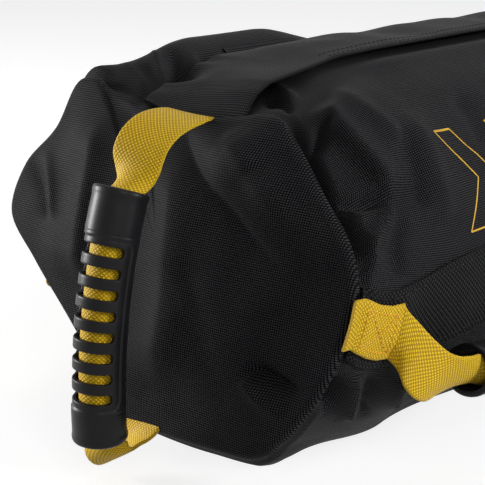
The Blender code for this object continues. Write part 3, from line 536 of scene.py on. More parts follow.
def bag_rise(points, normals, shares, turns):
    """How far the folds move the roll of cloth, in metres along its normals."""
    left, left_ways = brought_over(points, points, 0), brought_over(normals, points, 0)
    front, front_ways = brought_over(left, left, 1), brought_over(left_ways, left, 1)
    share = np.abs(shares)
    half_turn = np.minimum(turns, 1 - turns)
    far_turn = (turns + 0.5) % 1 - 0.5
    on_side = ease((half_turn - 0.085) / 0.04) * ease((0.475 - half_turn) / 0.03)
    on_far = ease((-far_turn - 0.035) / 0.02) * ease((far_turn + 0.24) / 0.04)
    on_near = ease((turns - 0.02) / 0.02) * ease((0.2 - turns) / 0.04)
    on_top = ease((0.2 - half_turn) / 0.05)
    millimetres = on_side * in_view(front, front_ways) * folded(pixels_of(front), SIDE_FOLDS)
    millimetres *= np.where(left[:, 1] > 0, BACK_SHARE, 1) * ease((1 - share) * BAG_HALF_LENGTH / SEAM_FADE)
    millimetres += on_far * in_view(left, left_ways) * folded(pixels_of(left), FAR_FOLDS)
    millimetres += on_top * folded(left[:, :2] * 1000, PLAN_FOLDS)
    millimetres += on_near * folded(pixels_of(left), NEAR_FOLDS)
    under = ease((half_turn - 0.395) / 0.03)
    millimetres += SAND_SWELL * under * bell(share, 0.965, 0.05)
    millimetres -= FAR_SINK * bell(far_turn, -0.182, 0.035) * bell(share, 0.89, 0.09)
    # What lies on the floor stays flat
    off_floor = np.maximum(ease((points[:, 2] - 0.004) / 0.03), under * ease((share - 0.8) / 0.1))
    drawn_in = DRAWN_IN * bell(half_turn, 0.388, 0.03) * bell(share, 0.70, 0.15)
    return (millimetres * off_floor - drawn_in) / 1000


plain_normals = outward(plain_bag)
rise = bag_rise(plain_bag.reshape(-1, 3), plain_normals.reshape(-1, 3), np.repeat(stations, COLUMNS),
                np.tile(columns, ROWS)).reshape(ROWS, COLUMNS)
print("folds lift the cloth by", round(rise.min() * 1000, 1), "to", round(rise.max() * 1000, 1), "mm")

# %% [markdown]
# ## Seams
# The end panels are sewn in with the seam on the inside, so cloth rolls over into a groove there.
# Along the bag's shoulders the panel pulls the seam in and the roll bulges over it, so the
# groove is deep and looks black.

# %% Sink the cloth at the end seams
SEAM_ROLL = 0.0045               # the cloth starts to roll over this far from the seam
SEAM_DEPTH = 0.0018
# How deep the groove is on the shoulders, by share around the bag from its top
TUCK_TURNS = (0.095, 0.125, 0.15, 0.20, 0.24, 0.275)
TUCK_DEPTHS = (0, 0.007, 0.0125, 0.0125, 0.009, 0)

from_seam = (1 - np.abs(stations)) * BAG_HALF_LENGTH
rise -= SEAM_DEPTH * (1 - ease(from_seam / SEAM_ROLL))[:, None]
tucked = np.interp(np.minimum(columns, 1 - columns), TUCK_TURNS, TUCK_DEPTHS)
rise -= tucked * (ease(from_seam / 0.0027) * (1 - ease((from_seam - 0.0032) / 0.0045)))[:, None]
cloth_grid = plain_bag + plain_normals * rise[..., None]
cloth_grid[..., 2] = np.maximum(cloth_grid[..., 2], 0)
cloth_normals = outward(cloth_grid)
print("end seams rolled", SEAM_DEPTH * 1000, "mm deep")

# %% [markdown]
# ## The roll of cloth
# The grid becomes a mesh. It is open along the zip's slit, and the cloth's edge is turned
# down there so that its thickness shows when the flap is open.

# %% Build the roll
SLIT_COLUMNS = 4                 # the slit is this many columns wide on either side of the middle
SLIT_HALF_LENGTH = 0.2328


def way_along(points):
    """How far along a line each of its points lies."""
    return np.concatenate(([0], np.cumsum(np.linalg.norm(np.diff(points, axis=0), axis=-1))))


def grid_faces(rows, columns_wide, wrap):
    """Corner indices of a grid's faces, and the same for its flat coordinates, which don't wrap."""
    across = np.arange(columns_wide if wrap else columns_wide - 1)
    i, j = (grid.ravel() for grid in np.meshgrid(np.arange(rows - 1), across, indexing="ij"))
    after = (j + 1) % columns_wide
    flat_wide = columns_wide + 1 if wrap else columns_wide
    corners = np.stack((i * columns_wide + j, (i + 1) * columns_wide + j,
                        (i + 1) * columns_wide + after, i * columns_wide + after), -1)
    flat = np.stack((i * flat_wide + j, (i + 1) * flat_wide + j,
                     (i + 1) * flat_wide + j + 1, i * flat_wide + j + 1), -1)
    return corners, flat


def mesh_from(name, points, faces, flat_places=None, loops=None):
    """A smooth mesh. Its flat coordinates, in metres, are given as places and each face corner's pick."""
    mesh = bpy.data.meshes.new(name)
    mesh.from_pydata(np.asarray(points, float).reshape(-1, 3).tolist(), [],
                     [list(map(int, face)) for face in faces])
    if flat_places is not None:
        layer = mesh.uv_layers.new(name="flat")
        picked = flat_places.reshape(-1, 2)[np.ravel(loops)]
        layer.data.foreach_set("uv", picked.astype(np.float32).ravel())
    mesh.shade_smooth()
    return mesh


def piece(mesh, finish, body=None, stands_for=()):
    """Show a mesh as a piece of the bag with its finish, and say what carries it."""
    mesh.materials.append(finish)
    made = shown(mesh.name, mesh)
    if stands_for:
        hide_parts(*stands_for)
    if body:
        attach(made, body)
    return made


def bag_flat():
    """Flat coordinates of the roll: along the folded cloth, and around it from a plain section."""
    ring = plain_bag[ROWS // 2]
    around = way_along(np.concatenate((ring, ring[:1])))
    closed = np.concatenate((cloth_grid, cloth_grid[:, :1]), 1)
    lengths = np.cumsum(np.linalg.norm(np.diff(closed, axis=0, prepend=closed[:1]), axis=-1), 0)
    return np.stack(np.broadcast_arrays(lengths - lengths[ROWS // 2], around[None]), -1)


corners, flat = grid_faces(ROWS, COLUMNS, True)
face_rows = corners[:, 0] // COLUMNS
face_columns = corners[:, 0] % COLUMNS
inside = np.abs((stations[face_rows] + stations[face_rows + 1]) / 2) * BAG_HALF_LENGTH < SLIT_HALF_LENGTH
closed = ~(inside & ((face_columns < SLIT_COLUMNS) | (face_columns >= COLUMNS - SLIT_COLUMNS)))
roll_mesh = mesh_from("bag_roll", cloth_grid, corners[closed][:, ::-1], bag_flat(), flat[closed][:, ::-1])
bm = bmesh.new()
bm.from_mesh(roll_mesh)
rim = [e for e in bm.edges if e.is_boundary and abs(e.verts[0].co.x) < 0.25 and abs(e.verts[0].co.y) < 0.02
       and e.verts[0].co.z > 0.1]
turned = bmesh.ops.extrude_edge_only(bm, edges=rim)["geom"]
for vert in turned:
    if isinstance(vert, bmesh.types.BMVert):
        vert.co.z -= CLOTH * 0.9
bm.to_mesh(roll_mesh)
bm.free()
roll_mesh.shade_smooth()
bag_roll = piece(roll_mesh, bag_cloth, "bag", ["body_panel"])
print("bag roll", len(roll_mesh.polygons), "faces, slit", round(SLIT_HALF_LENGTH * 2000), "mm long")

# %% [markdown]
# ## End panels
# A round panel closes each end. The sand pushes it out a little, and the handle's pull breaks it
# into facets. Its rim is the edge of the roll, so the two meet in the seam's groove. The right panel
# has the left one's folds in reverse, and a slow swell that differs from place to place keeps
# the two from looking like copies.

# %% Build the end panels
ENDS = (("left", -1), ("right", 1))
PANEL_RINGS = 84
END_DOME = 0.005
RIM_ROLL = 0.004
INNER_REACH = 0.026              # folds come up this far from the rim
# Lines in pixels on the end panel, widths in pixels, rises in millimetres
END_FOLDS = [
    ([(186, 114), (199, 152), (218, 180), (239, 205), (262, 234), (300, 280)], 10.0, 64, 14, "facet"),
    ([(112, 112), (106, 160), (96, 226), (86, 290)], 8.0, 24, 28, "ridge"),
    ([(30, 150), (40, 166), (52, 190), (56, 226)], -3.4, 8, 10, "ridge"),
    ([(48, 142), (60, 176), (64, 222)], 3.4, 8, 12, "ridge"),
    ([(258, 362), (282, 378), (306, 392), (328, 402)], -9.0, 7, 12, "ridge"),
    ([(256, 376), (272, 400), (292, 422)], 7.0, 14, 12, "ridge"),
    ([(300, 152), (316, 190), (330, 236), (338, 284)], 4.0, 20, 16, "ridge"),
    ([(190, 140), (192, 220), (184, 310), (166, 400)], 9.0, 70, 36, "ridge"),
    ([(206, 250), (216, 320), (232, 388)], -2.0, 24, 28, "ridge"),
    ([(96, 350), (140, 392), (190, 420)], 2.6, 16, 14, "ridge"),
    ([(120, 92), (128, 106), (146, 120)], -3.0, 9, 10, "ridge"),
    ([(238, 128), (254, 150), (276, 172)], 3.0, 14, 18, "ridge"),
    ([(60, 300), (90, 330), (120, 372)], -2.0, 14, 16, "ridge"),
]


def end_frame(side):
    """Frame of an end: X away from the bag, Y across, Z up from the lower anchor."""
    up = Vector((-END_LEAN * side, 0, END_TOP - END_FOOT)).normalized()
    away = Vector((up.z * side, 0, -up.x * side))
    return frame_of(away, up.cross(away), up, ((BAG_HALF_LENGTH + END_LEAN) * side, 0, END_FOOT))


def moved(points, matrix):
    """Points taken through a matrix."""
    turn = np.array(matrix.to_3x3())
    return points @ turn.T + np.array(matrix.translation)


def swell(points, sizes, seed):
    """A slow rise and fall between -1 and 1, made of waves in seeded directions."""
    dice = np.random.default_rng(seed)
    total = np.zeros(len(points))
    for size in sizes:
        for _ in range(4):
            way = unit(dice.normal(size=3))
            total += np.sin(points @ way * (2 * math.pi / size) + dice.uniform(0, 2 * math.pi))
    return total / (2 * len(sizes))


def end_panel(label, side):
    """The panel as rings from its rim to its middle, closed by a fan."""
    rim_points = cloth_grid[0 if side < 0 else -1]
    matrix = end_frame(side)
    middle = rim_points.mean(0)
    shares = 1 - np.linspace(0, 1, PANEL_RINGS)[:-1] ** 1.5
    points = (middle + (rim_points - middle)[None] * shares[:, None, None]).reshape(-1, 3)
    reach = np.linalg.norm(rim_points - middle, axis=-1)[None] * (1 - shares[:, None])
    out = CLOTH + END_DOME * (1 - shares[:, None] ** 2) + SEAM_DEPTH
    rounded = np.sqrt(np.clip(1 - (1 - np.clip(reach / RIM_ROLL, 0, 1)) ** 2, 0, 1))
    inner = ease(reach / INNER_REACH).ravel()
    millimetres = inner * folded(pixels_of(brought_over(points, points, 0)), END_FOLDS)
    millimetres += inner * (swell(points, (0.09, 0.06), 11) + 0.3 * swell(points, (0.03,), 12))
    lift = (out * rounded).ravel() + millimetres / 1000
    points = points + np.array(matrix.to_3x3().col[0]) * lift[:, None]
    points = np.vstack((points, points[-COLUMNS:].mean(0)))
    tip = len(points) - 1
    faces = grid_faces(len(shares), COLUMNS, True)[0].tolist()
    faces += [(tip - COLUMNS + (k + 1) % COLUMNS, tip - COLUMNS + k, tip) for k in range(COLUMNS)]
    if side < 0:
        faces = [face[::-1] for face in faces]
    mesh = mesh_from("cloth_end_" + label, points, faces, moved(points, matrix.inverted())[:, 1:],
                     [k for face in faces for k in face])
    made = piece(mesh, bag_cloth, "bag", ["end_panel_" + label])
    return made


for label, side in ENDS:
    made = end_panel(label, side)
    print(made.name, len(made.data.polygons), "faces")

# %% [markdown]
# ## Straps and bands
# A ribbon of webbing is a grid of points along its middle, given a thickness and rounded edges.
# The bands are ribbons that follow the cloth. In the picture the band dips a little at the
# outer end of the side handle, so it does here.

# %% Build the bands
FACES = (("front", -1), ("back", 1))
BAND = 0.0016
BAND_WIDTH = 0.038
BAND_HEIGHT = 0.094
STRAP_CREASE = 50                # degrees: a sharper bend than this shows as a crisp edge
# Middle height and half width of the band by share of the half length, in millimetres
BAND_HEIGHTS = [(0, 94, 19), (0.7, 93.8, 19), (0.78, 93.2, 19.2), (0.83, 92.2, 19.2), (0.877, 90.2, 18.6),
                (0.92, 89.6, 18), (0.945, 90.8, 17.4), (0.967, 93.6, 16.6), (1, 99.2, 15.6)]
# The front lies between points 3 and 9 of the 22 round the section
front_turns = np.linspace(3 / 22, 9 / 22, 360)


def between(grid, shares, turns):
    """A grid's value at shares of the half length and shares around the bag."""
    row = np.clip(np.interp(shares, stations, np.arange(ROWS)), 0, ROWS - 1.000001)
    column = (turns % 1) * COLUMNS
    i, j = row.astype(int), column.astype(int) % COLUMNS
    down, along = (row - i)[..., None], (column - np.floor(column))[..., None]
    i2, j2 = np.minimum(i + 1, ROWS - 1), (j + 1) % COLUMNS
    return ((grid[i, j] * (1 - down) + grid[i2, j] * down) * (1 - along)
            + (grid[i, j2] * (1 - down) + grid[i2, j2] * down) * along)


def on_bag(shares, turns, out=0):
    """Points on the finished cloth, moved out from it."""
    shares, turns = np.broadcast_arrays(np.asarray(shares, float), np.asarray(turns, float))
    normals = unit(between(cloth_normals, shares, turns))
    return between(cloth_grid, shares, turns) + normals * np.asarray(out)[..., None]


def turn_at_height(share, heights):
    """Shares around the bag at which its front has some heights."""
    return np.interp(-np.asarray(heights), -cross_section(share, front_turns)[:, 1], front_turns)


def lofted(rings, facing=1):
    """Points and faces of a closed body through rings of points."""
    count, last = rings.shape[1], (len(rings) - 1) * rings.shape[1]
    caps = [list(range(count))[::-facing], list(range(last, last + count))[::facing]]
    return rings.reshape(-1, 3), grid_faces(len(rings), count, True)[0][:, ::facing].tolist() + caps


def turned_out(mesh, merge=0):
    """Turn a closed mesh's faces outward and count its open edges. Points closer than merge become one."""
    bm = bmesh.new()
    bm.from_mesh(mesh)
    if merge:
        bmesh.ops.remove_doubles(bm, verts=bm.verts, dist=merge)
    bmesh.ops.recalc_face_normals(bm, faces=bm.faces)
    open_edges = sum(not edge.is_manifold for edge in bm.edges)
    bm.to_mesh(mesh)
    bm.free()
    return open_edges


def loft_mesh(name, rings, flat_places, sharp, facing=1):
    """A closed body through rings of points, with creased edges above an angle in degrees."""
    rows, count = rings.shape[:2]
    flat = grid_faces(rows, count, True)[1][:, ::facing]
    loops = np.concatenate((flat.ravel(), np.arange(count), (rows - 1) * (count + 1) + np.arange(count)))
    mesh = mesh_from(name, *lofted(rings, facing), flat_places, loops)
    turned_out(mesh)
    mesh.set_sharp_from_angle(angle=math.radians(sharp))
    return mesh


def ribbon_mesh(name, middle, thickness, facing=1):
    """A closed strap round a grid of middle points, rows along it and columns across."""
    across = np.gradient(middle, axis=1)
    sideways = unit(across)
    normals = unit(np.cross(across, np.gradient(middle, axis=0))) * facing
    half = thickness / 2
    right, left = (np.stack([middle[:, k] + (sideways[:, k] * math.cos(t) + normals[:, k] * math.sin(t))
                             * half * way for t in (0.8, 0, -0.8)], 1) for k, way in ((-1, 1), (0, -1)))
    rings = np.concatenate((middle + normals * half, right, (middle - normals * half)[:, ::-1], left), 1)
    place = way_along(middle[len(middle) // 2])
    edge = half * np.arange(1, 4)
    around = np.concatenate((place, place[-1] + edge, place[::-1], -edge, place[:1]))
    length = way_along(middle[:, middle.shape[1] // 2])
    flat_places = np.stack(np.broadcast_arrays(length[:, None], around[None]), -1)
    return loft_mesh(name, rings, flat_places, STRAP_CREASE, facing)


def band_turn(shares, parts, side):
    """Shares around the bag at parts of the band's width, from its lower edge at -1 to its upper at 1."""
    shares, parts = np.broadcast_arrays(np.asarray(shares, float), np.asarray(parts, float))
    table = np.array(BAND_HEIGHTS, float)
    made = np.empty(shares.shape)
    for share in np.unique(shares):
        here = shares == share
        middle, half = (np.interp(abs(share), table[:, 0], table[:, k]) for k in (1, 2))
        made[here] = turn_at_height(share, (middle + half * parts[here]) / 1000)
    return made if side < 0 else 1 - made


band_grid = np.meshgrid(np.linspace(-0.997, 0.997, 260), np.linspace(-1, 1, 15), indexing="ij")
for label, side in FACES:
    rows = on_bag(band_grid[0], band_turn(*band_grid, side), GAP + BAND / 2)
    piece(ribbon_mesh("side_band_" + label, rows, BAND, side), black_webbing, "bag",
          ["band_" + label])
    print("band", label, round(BAND_WIDTH * 1000), "mm wide")

# %% [markdown]
# ## Moulded grips
# A grip is a bowed oval tube. Plain collars stand at its mouths. Between them a lower
# panel has eight slots with round ends, and the webbing shows through them. The tube is laid
# out flat first, as angle round it and length along it. Each slot gets a cell whose faces run
# from the slot's edge out to the cell's border, so that the slot's rounded rim is clean.

# %% Lay out the grip
GRIP_LENGTH = 0.130
GRIP_HALF_WIDTH = 0.0140
GRIP_HALF_DEPTH = 0.0130
GRIP_WALL = 0.0026
GRIP_BOW_RADIUS = 0.302
GRIP_COLLAR = 0.024
LOWER_TRIM = 0.0052              # the lower collar is cut this much shorter, as the picture shows
GRIP_STEP = 0.0009
GRIP_LIP = 0.0012
SLOT_COUNT = 8
SLOT_WIDTH = 0.0048
SLOT_PITCH = 0.0101
SLOT_REACH = math.radians(78)    # a slot's tip, from straight outward
CELL_REACH = math.radians(89)
PANEL_REACH = math.radians(96)
RIM_RADIUS = 0.0006
RIM_TURNS = (0, 0.35, 0.7, 1.05, math.pi / 2)
MERGE = 2e-6
MEAN_RADIUS = (GRIP_HALF_WIDTH + GRIP_HALF_DEPTH) / 2
TOP_POINTS = 30
SIDE_POINTS = 9
GRIP_CREASE = 52


def panel_inset(angle, along):
    """How far the grip's surface lies below its collars, with a groove round the slotted panel."""
    half_along = GRIP_LENGTH / 2 - GRIP_COLLAR
    corner = 0.006
    far_x = np.abs(angle) * MEAN_RADIUS - (PANEL_REACH * MEAN_RADIUS - corner)
    far_y = np.abs(along) - (half_along - corner)
    outside = (np.hypot(np.maximum(far_x, 0), np.maximum(far_y, 0))
               + np.minimum(np.maximum(far_x, far_y), 0) - corner)
    step = GRIP_STEP * 0.75 * (1 - ease(outside / 0.0009 + 0.5))
    groove = 0.00045 * bell(outside, 0.0002, 0.00055)
    band = 0.00016 * bell(np.abs(along) - half_along, 0.0022, 0.0005)
    end = GRIP_LENGTH / 2 - np.abs(along) - LOWER_TRIM * (along < 0)
    lip = GRIP_LIP * (1 - np.sqrt(np.clip(1 - (1 - np.clip(end / GRIP_LIP, 0, 1)) ** 2, 0, 1)))
    return step + groove + band + lip - 0.0004 * bell(end, 0.0022, 0.0018)


def bowed(angle, along, inset):
    """Points of the bowed oval tube, each at a depth below its surface."""
    bow = along / GRIP_BOW_RADIUS
    reach = GRIP_BOW_RADIUS + (GRIP_HALF_DEPTH - inset) * np.cos(angle)
    return np.stack((reach * np.cos(bow) - GRIP_BOW_RADIUS, (GRIP_HALF_WIDTH - inset) * np.sin(angle),
                     reach * np.sin(bow)), -1)


def cell_grid(centre):
    """Closed loops from a slot's rim out to its cell's border, as (angle, along, depth)."""
    straight = SLOT_REACH * MEAN_RADIUS - SLOT_WIDTH / 2
    wide, tall = CELL_REACH * MEAN_RADIUS, SLOT_PITCH / 2
    top = np.linspace(-1, 1, TOP_POINTS + 1)
    arc = np.linspace(math.pi / 2, -math.pi / 2, SIDE_POINTS + 1)[1:-1]

    def loop(*stretches):
        """The top and the right side, then the same after half a turn."""
        half = np.vstack([np.stack(np.broadcast_arrays(*stretch), -1) for stretch in stretches])
        return np.vstack((half, -half))

    loops = []
    for t in RIM_TURNS:
        radius = SLOT_WIDTH / 2 + RIM_RADIUS * (1 - math.cos(t))
        rim = loop((straight * top, radius), (straight + radius * np.cos(arc), radius * np.sin(arc)))
        loops.append((rim, RIM_RADIUS * (1 - math.sin(t))))
    border = loop((wide * top, tall), (wide, tall * np.linspace(1, -1, SIDE_POINTS + 1)[1:-1]))
    loops += [(rim + (border - rim) * share, 0) for share in (0.3, 0.62, 1)]
    return np.array([np.stack(np.broadcast_arrays(edge[:, 0] / MEAN_RADIUS, edge[:, 1] + centre, depth), -1)
                     for edge, depth in loops])


def grip_mesh():
    """The whole grip: outer skin, bore, slot walls and rounded mouths."""
    points, faces, edges = [], [], []

    def extend(grid, wrap):
        """Add a grid of (angle, along, depth) and give the index of its first point."""
        start = sum(map(len, points))
        points.append(grid.reshape(-1, 3))
        faces.append(grid_faces(*grid.shape[:2], wrap)[0] + start)
        return start

    def tube_grid(angles, alongs):
        """Places on the grip's surface at angles round it and places along it."""
        return np.stack(np.broadcast_arrays(angles[None], alongs[:, None], 0.0), -1)

    for i in range(SLOT_COUNT):
        cell = cell_grid(SLOT_PITCH * (i - (SLOT_COUNT - 1) / 2))
        edges.append(np.arange(cell.shape[1]) + extend(cell, True))
    front = np.linspace(-CELL_REACH, CELL_REACH, TOP_POINTS + 1)
    strip = np.linspace(CELL_REACH, PANEL_REACH + 0.09, 11)
    rest = np.linspace(strip[-1], 2 * math.pi - strip[-1], 19)
    beyond = np.concatenate((strip, rest[1:-1], 2 * math.pi - strip[::-1]))
    around = np.concatenate((front, beyond[1:-1]))
    beyond, around = (np.where(turns > math.pi, turns - 2 * math.pi, turns) for turns in (beyond, around))
    slotted = SLOT_PITCH * SLOT_COUNT / 2
    extend(tube_grid(beyond, np.linspace(-slotted, slotted, SLOT_COUNT * SIDE_POINTS + 1)), False)
    collar = GRIP_LENGTH / 2 - GRIP_COLLAR
    for way in (-1, 1):
        end = GRIP_LENGTH / 2 - LOWER_TRIM * (way < 0)
        steps = np.concatenate((np.linspace(slotted, collar + 0.0034, 14),
                                np.linspace(collar + 0.0044, end - 0.006, 9),
                                np.linspace(end - 0.005, end - 0.0014, 7),
                                end - GRIP_LIP * np.array((0.9, 0.6, 0.35, 0.15, 0))))
        start = extend(tube_grid(around, way * steps), True)
        edges.append(np.arange(len(around)) + start + (len(steps) - 1) * len(around))
    angle, along, depth = np.vstack(points).T
    outer, quads = bowed(angle, along, panel_inset(angle, along) + depth), np.vstack(faces)
    count = len(outer)
    walls = [np.stack((e, np.roll(e, -1), count + np.roll(e, -1), count + e), -1) for e in edges]
    mesh = mesh_from("slotted_grip", np.vstack((outer, bowed(angle, along, GRIP_WALL))),
                     np.vstack((quads, quads[:, ::-1] + count, *walls)))
    open_edges = turned_out(mesh, MERGE)
    mesh.set_sharp_from_angle(angle=math.radians(GRIP_CREASE))
    print("grip", len(mesh.polygons), "faces,", open_edges, "open edges")
    return mesh


slotted_grip = grip_mesh()
slotted_grip.materials.append(polypropylene)

# %% [markdown]
# ## Handles
# Each handle is one length of webbing. It leaves its sewn end, runs through the grip, where
# it curls to the bore, and comes back to the other sewn end. Where it leaves the bag it
# twists. The webbing is built where it stands at rest and is attached to neither the bag nor
# the handle.

# %% Webbing paths
WEBBING = 0.0018
WEBBING_WIDTH = 0.026
WEBBING_CURL = 0.0086
MOUTH_SLACK = 0.022              # near a mouth the webbing leaves the outer wall of the bore
GRIP_ROWS = 41
ACROSS = np.linspace(-0.5, 0.5, 17)


def through(points, position):
    """Values on the smooth curve through rows of numbers, where position counts them."""
    rows = np.array(points, float)
    index = min(int(position), len(rows) - 2)
    near = (rows[min(max(index + k, 0), len(rows) - 1)] for k in (-1, 0, 1, 2))
    return spline(*near, position - index)


def webbing_row(centre, wide, out, curl):
    """Points across the webbing at one place, curled to a radius that curl sets."""
    centre, wide, out = (np.array(v, float) for v in (centre, wide, out))
    if curl <= 0.001:
        return centre + wide * (ACROSS * WEBBING_WIDTH)[:, None]
    radius = WEBBING_CURL / curl
    turn = ACROSS * WEBBING_WIDTH / radius
    return centre + wide * (radius * np.sin(turn))[:, None] + out * (radius * (np.cos(turn) - 1))[:, None]


def rows_in_grip(matrix, twist=0):
    """Rows of the webbing inside a grip that stands at matrix, from its +Z mouth to the other."""
    turn = matrix.to_3x3()
    made = []
    for along in np.linspace(GRIP_LENGTH / 2 - 0.001, LOWER_TRIM - GRIP_LENGTH / 2 + 0.001, GRIP_ROWS):
        bow = along / GRIP_BOW_RADIUS
        slack = 1 - float(ease((GRIP_LENGTH / 2 - abs(along)) / MOUTH_SLACK))
        spin = twist * slack
        crest = WEBBING_CURL - 0.005 * slack
        reach = GRIP_BOW_RADIUS + crest * math.cos(spin)
        centre = Vector((reach * math.cos(bow) - GRIP_BOW_RADIUS, crest * math.sin(spin),
                         reach * math.sin(bow)))
        wide = Vector((-math.sin(spin) * math.cos(bow), math.cos(spin), -math.sin(spin) * math.sin(bow)))
        normal = Vector((math.cos(spin) * math.cos(bow), math.sin(spin), math.cos(spin) * math.sin(bow)))
        made.append((matrix @ centre, turn @ wide, turn @ normal, 1 - 0.3 * slack))
    return made


def place_grip(name, matrix, body, node):
    """A grip at its place, sharing one mesh with the others."""
    made = shown(name, slotted_grip)
    made.matrix_world = matrix
    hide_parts(node)
    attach(made, body)


print("webbing", WEBBING_WIDTH * 1000, "mm wide")

# %% [markdown]
# ### End handles
# The webbing comes out of the end seam lying flat, humps over and drops into the grip. Below the
# grip it turns back under and is caught in the seam again.

# %% Build the end handles
END_GRIP_REACH = 0.043
END_GRIP_HEIGHT = 0.051
END_GRIP_TILT = math.radians(6.7)
# Bends of the webbing in the end's frame: away and up in mm, tilt, curl and twist in degrees
OVER_GRIP = [(1.5, 156.4, 90, 0, 0), (5, 156.4, 88, 0, 4), (11, 155.0, 82, 0, 9), (19, 152.2, 70, 0, 13),
             (27, 147.8, 54, 0, 17), (33.5, 141.0, 34, 0, 20), (36.8, 133.5, 15, 0.1, 19),
             (38.2, 126.5, 6, 0.35, 9), (41.8, 120, 6.7, 0.75, 2)]
UNDER_GRIP = [(28.5, -12, -35, 0.75, 10), (24.5, -16.5, -60, 0.35, 22), (17.5, -18.2, -92, 0.05, 32),
              (9.5, -14.6, -120, 0, 32), (4.8, -8.5, -150, 0, 20), (3.0, -2.5, -172, 0, 6),
              (2.6, 1.5, -180, 0, 0)]


def end_webbing(side):
    """Rows of the end handle's webbing, and its grip's place in the end's frame."""
    grip_matrix = Matrix.Rotation(END_GRIP_TILT, 4, "Y")
    grip_matrix.translation = (END_GRIP_REACH, 0, END_GRIP_HEIGHT)
    inside = rows_in_grip(grip_matrix)
    high, low = inside[0][0] * 1000, inside[-1][0] * 1000

    def bent(bends, steps):
        """Rows along a table of bends."""
        made = []
        for i in range(steps + 1):
            x, z, tilt, curl, twist = through(bends, (len(bends) - 1) * i / steps)
            angle, swing = math.radians(tilt), math.radians(twist)
            out = np.array((math.cos(angle), 0, math.sin(angle)))
            wide = np.array((0, math.cos(swing), 0)) - math.sin(swing) * out
            facing = math.cos(swing) * out + np.array((0, math.sin(swing), 0))
            made.append(webbing_row((x / 1000, 0, z / 1000), wide, facing, min(max(curl, 0), 1)))
        return made

    points = np.array(bent(OVER_GRIP + [(high.x, high.z, math.degrees(END_GRIP_TILT), 1, 0)], 56)
                      + [webbing_row(*row) for row in inside[1:-1]]
                      + bent([(low.x, low.z, -12, 1, 0)] + UNDER_GRIP, 44))
    return moved(points.reshape(-1, 3), end_frame(side)).reshape(points.shape), grip_matrix


for label, side in ENDS:
    rows, grip_matrix = end_webbing(side)
    matrix, body = end_frame(side), "end_handle_" + label
    strap = piece(ribbon_mesh("end_webbing_" + label, rows, WEBBING), yellow_webbing, None,
                  [f"end_strap_{label}", f"end_foot_{label}_upper", f"end_foot_{label}_lower"])
    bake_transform(strap)
    place_grip("end_grip_moulding_" + label, matrix @ grip_matrix, body, "end_grip_" + label)
    print("end handle", label, "webbing rows", len(rows))

# %% [markdown]
# ### Side handles
# The webbing lies flat on the band for its sewn length, then twists outward and down into the grip.
# Each half is a piece of its own. They meet
# inside the grip, under a rib.

# %% Build the side handles
SIDE_HANDLE_X = 0.190
SIDE_FOOT = 0.033
SIDE_FOOT_GAP = 0.0009
SIDE_SPAN = 0.098
FOOT_EXTRA = 0.0016              # the sewn end reaches this much further than the solid's
FOOT_LOOSE = 0.006               # and leaves the band this much sooner
SIDE_GRIP_REACH = 0.054
SIDE_GRIP_SLANT = math.radians(9)
BACK_REACH = 0.955               # the back's webbing stops short of the seam, out of the picture
BACK_HELD = 0.75                 # and keeps this share closer to the bag where it leaves it
MOUTH_TWIST = math.radians(-38)  # the webbing turns this much further inside the grip's collars
FREE_ROWS = 48
# The webbing from its sewn end to the grip's mouth: shares of the way along, out and down, its slope
# in degrees, share of its turn and share of its curl
SIDE_BENDS = [(0, 0, 0, 0, 0, 0), (0.04, 0.25, 0.16, 16, 0.02, 0), (0.10, 0.6, 0.40, 36, 0.10, 0),
              (0.22, 0.92, 0.62, 45, 0.24, 0), (0.41, 1.0, 0.76, 40, 0.45, 0.05),
              (0.67, 1.0, 0.87, 28, 0.75, 0.35), (0.87, 1.0, 0.95, 18, 0.95, 0.8), (1, 1, 1, 12, 1, 1)]


def bag_share(x):
    """Share of the half length at which the bands reach a place along the bag."""
    shares = np.linspace(0, 1, 200)
    reached = shares * BAG_HALF_LENGTH + lean_at(BAND_HEIGHT, shares)
    return np.copysign(np.interp(np.abs(x), reached, shares), x)


def side_grip_matrix():
    """Frame of a side grip, from that of its hinge line."""
    out = Vector((0, -math.sin(SIDE_GRIP_SLANT), -math.cos(SIDE_GRIP_SLANT)))
    along = Vector((1, 0, 0))
    return frame_of(out, along.cross(out), along, out * SIDE_GRIP_REACH)


def side_frame(x, side):
    """Frame on the hinge line, along the upper edge of the sewn ends."""
    out = MID_HALF_WIDTH + GAP + BAND + SIDE_FOOT_GAP + WEBBING / 2
    matrix = Matrix.Rotation(0 if side < 0 else math.pi, 4, "Z")
    matrix.translation = (x, out * side, BAND_HEIGHT + WEBBING_WIDTH / 2)
    return matrix


def foot_rows(places, side, lift):
    """Rows of webbing that lie on the band at places along the bag, upper edge first."""
    part = WEBBING_WIDTH / BAND_WIDTH
    shares, parts = np.meshgrid(bag_share(places), np.linspace(part, -part, len(ACROSS)), indexing="ij")
    if side > 0:
        shares = np.clip(shares, -BACK_REACH, BACK_REACH)
    return on_bag(shares, band_turn(shares, parts, side), lift)


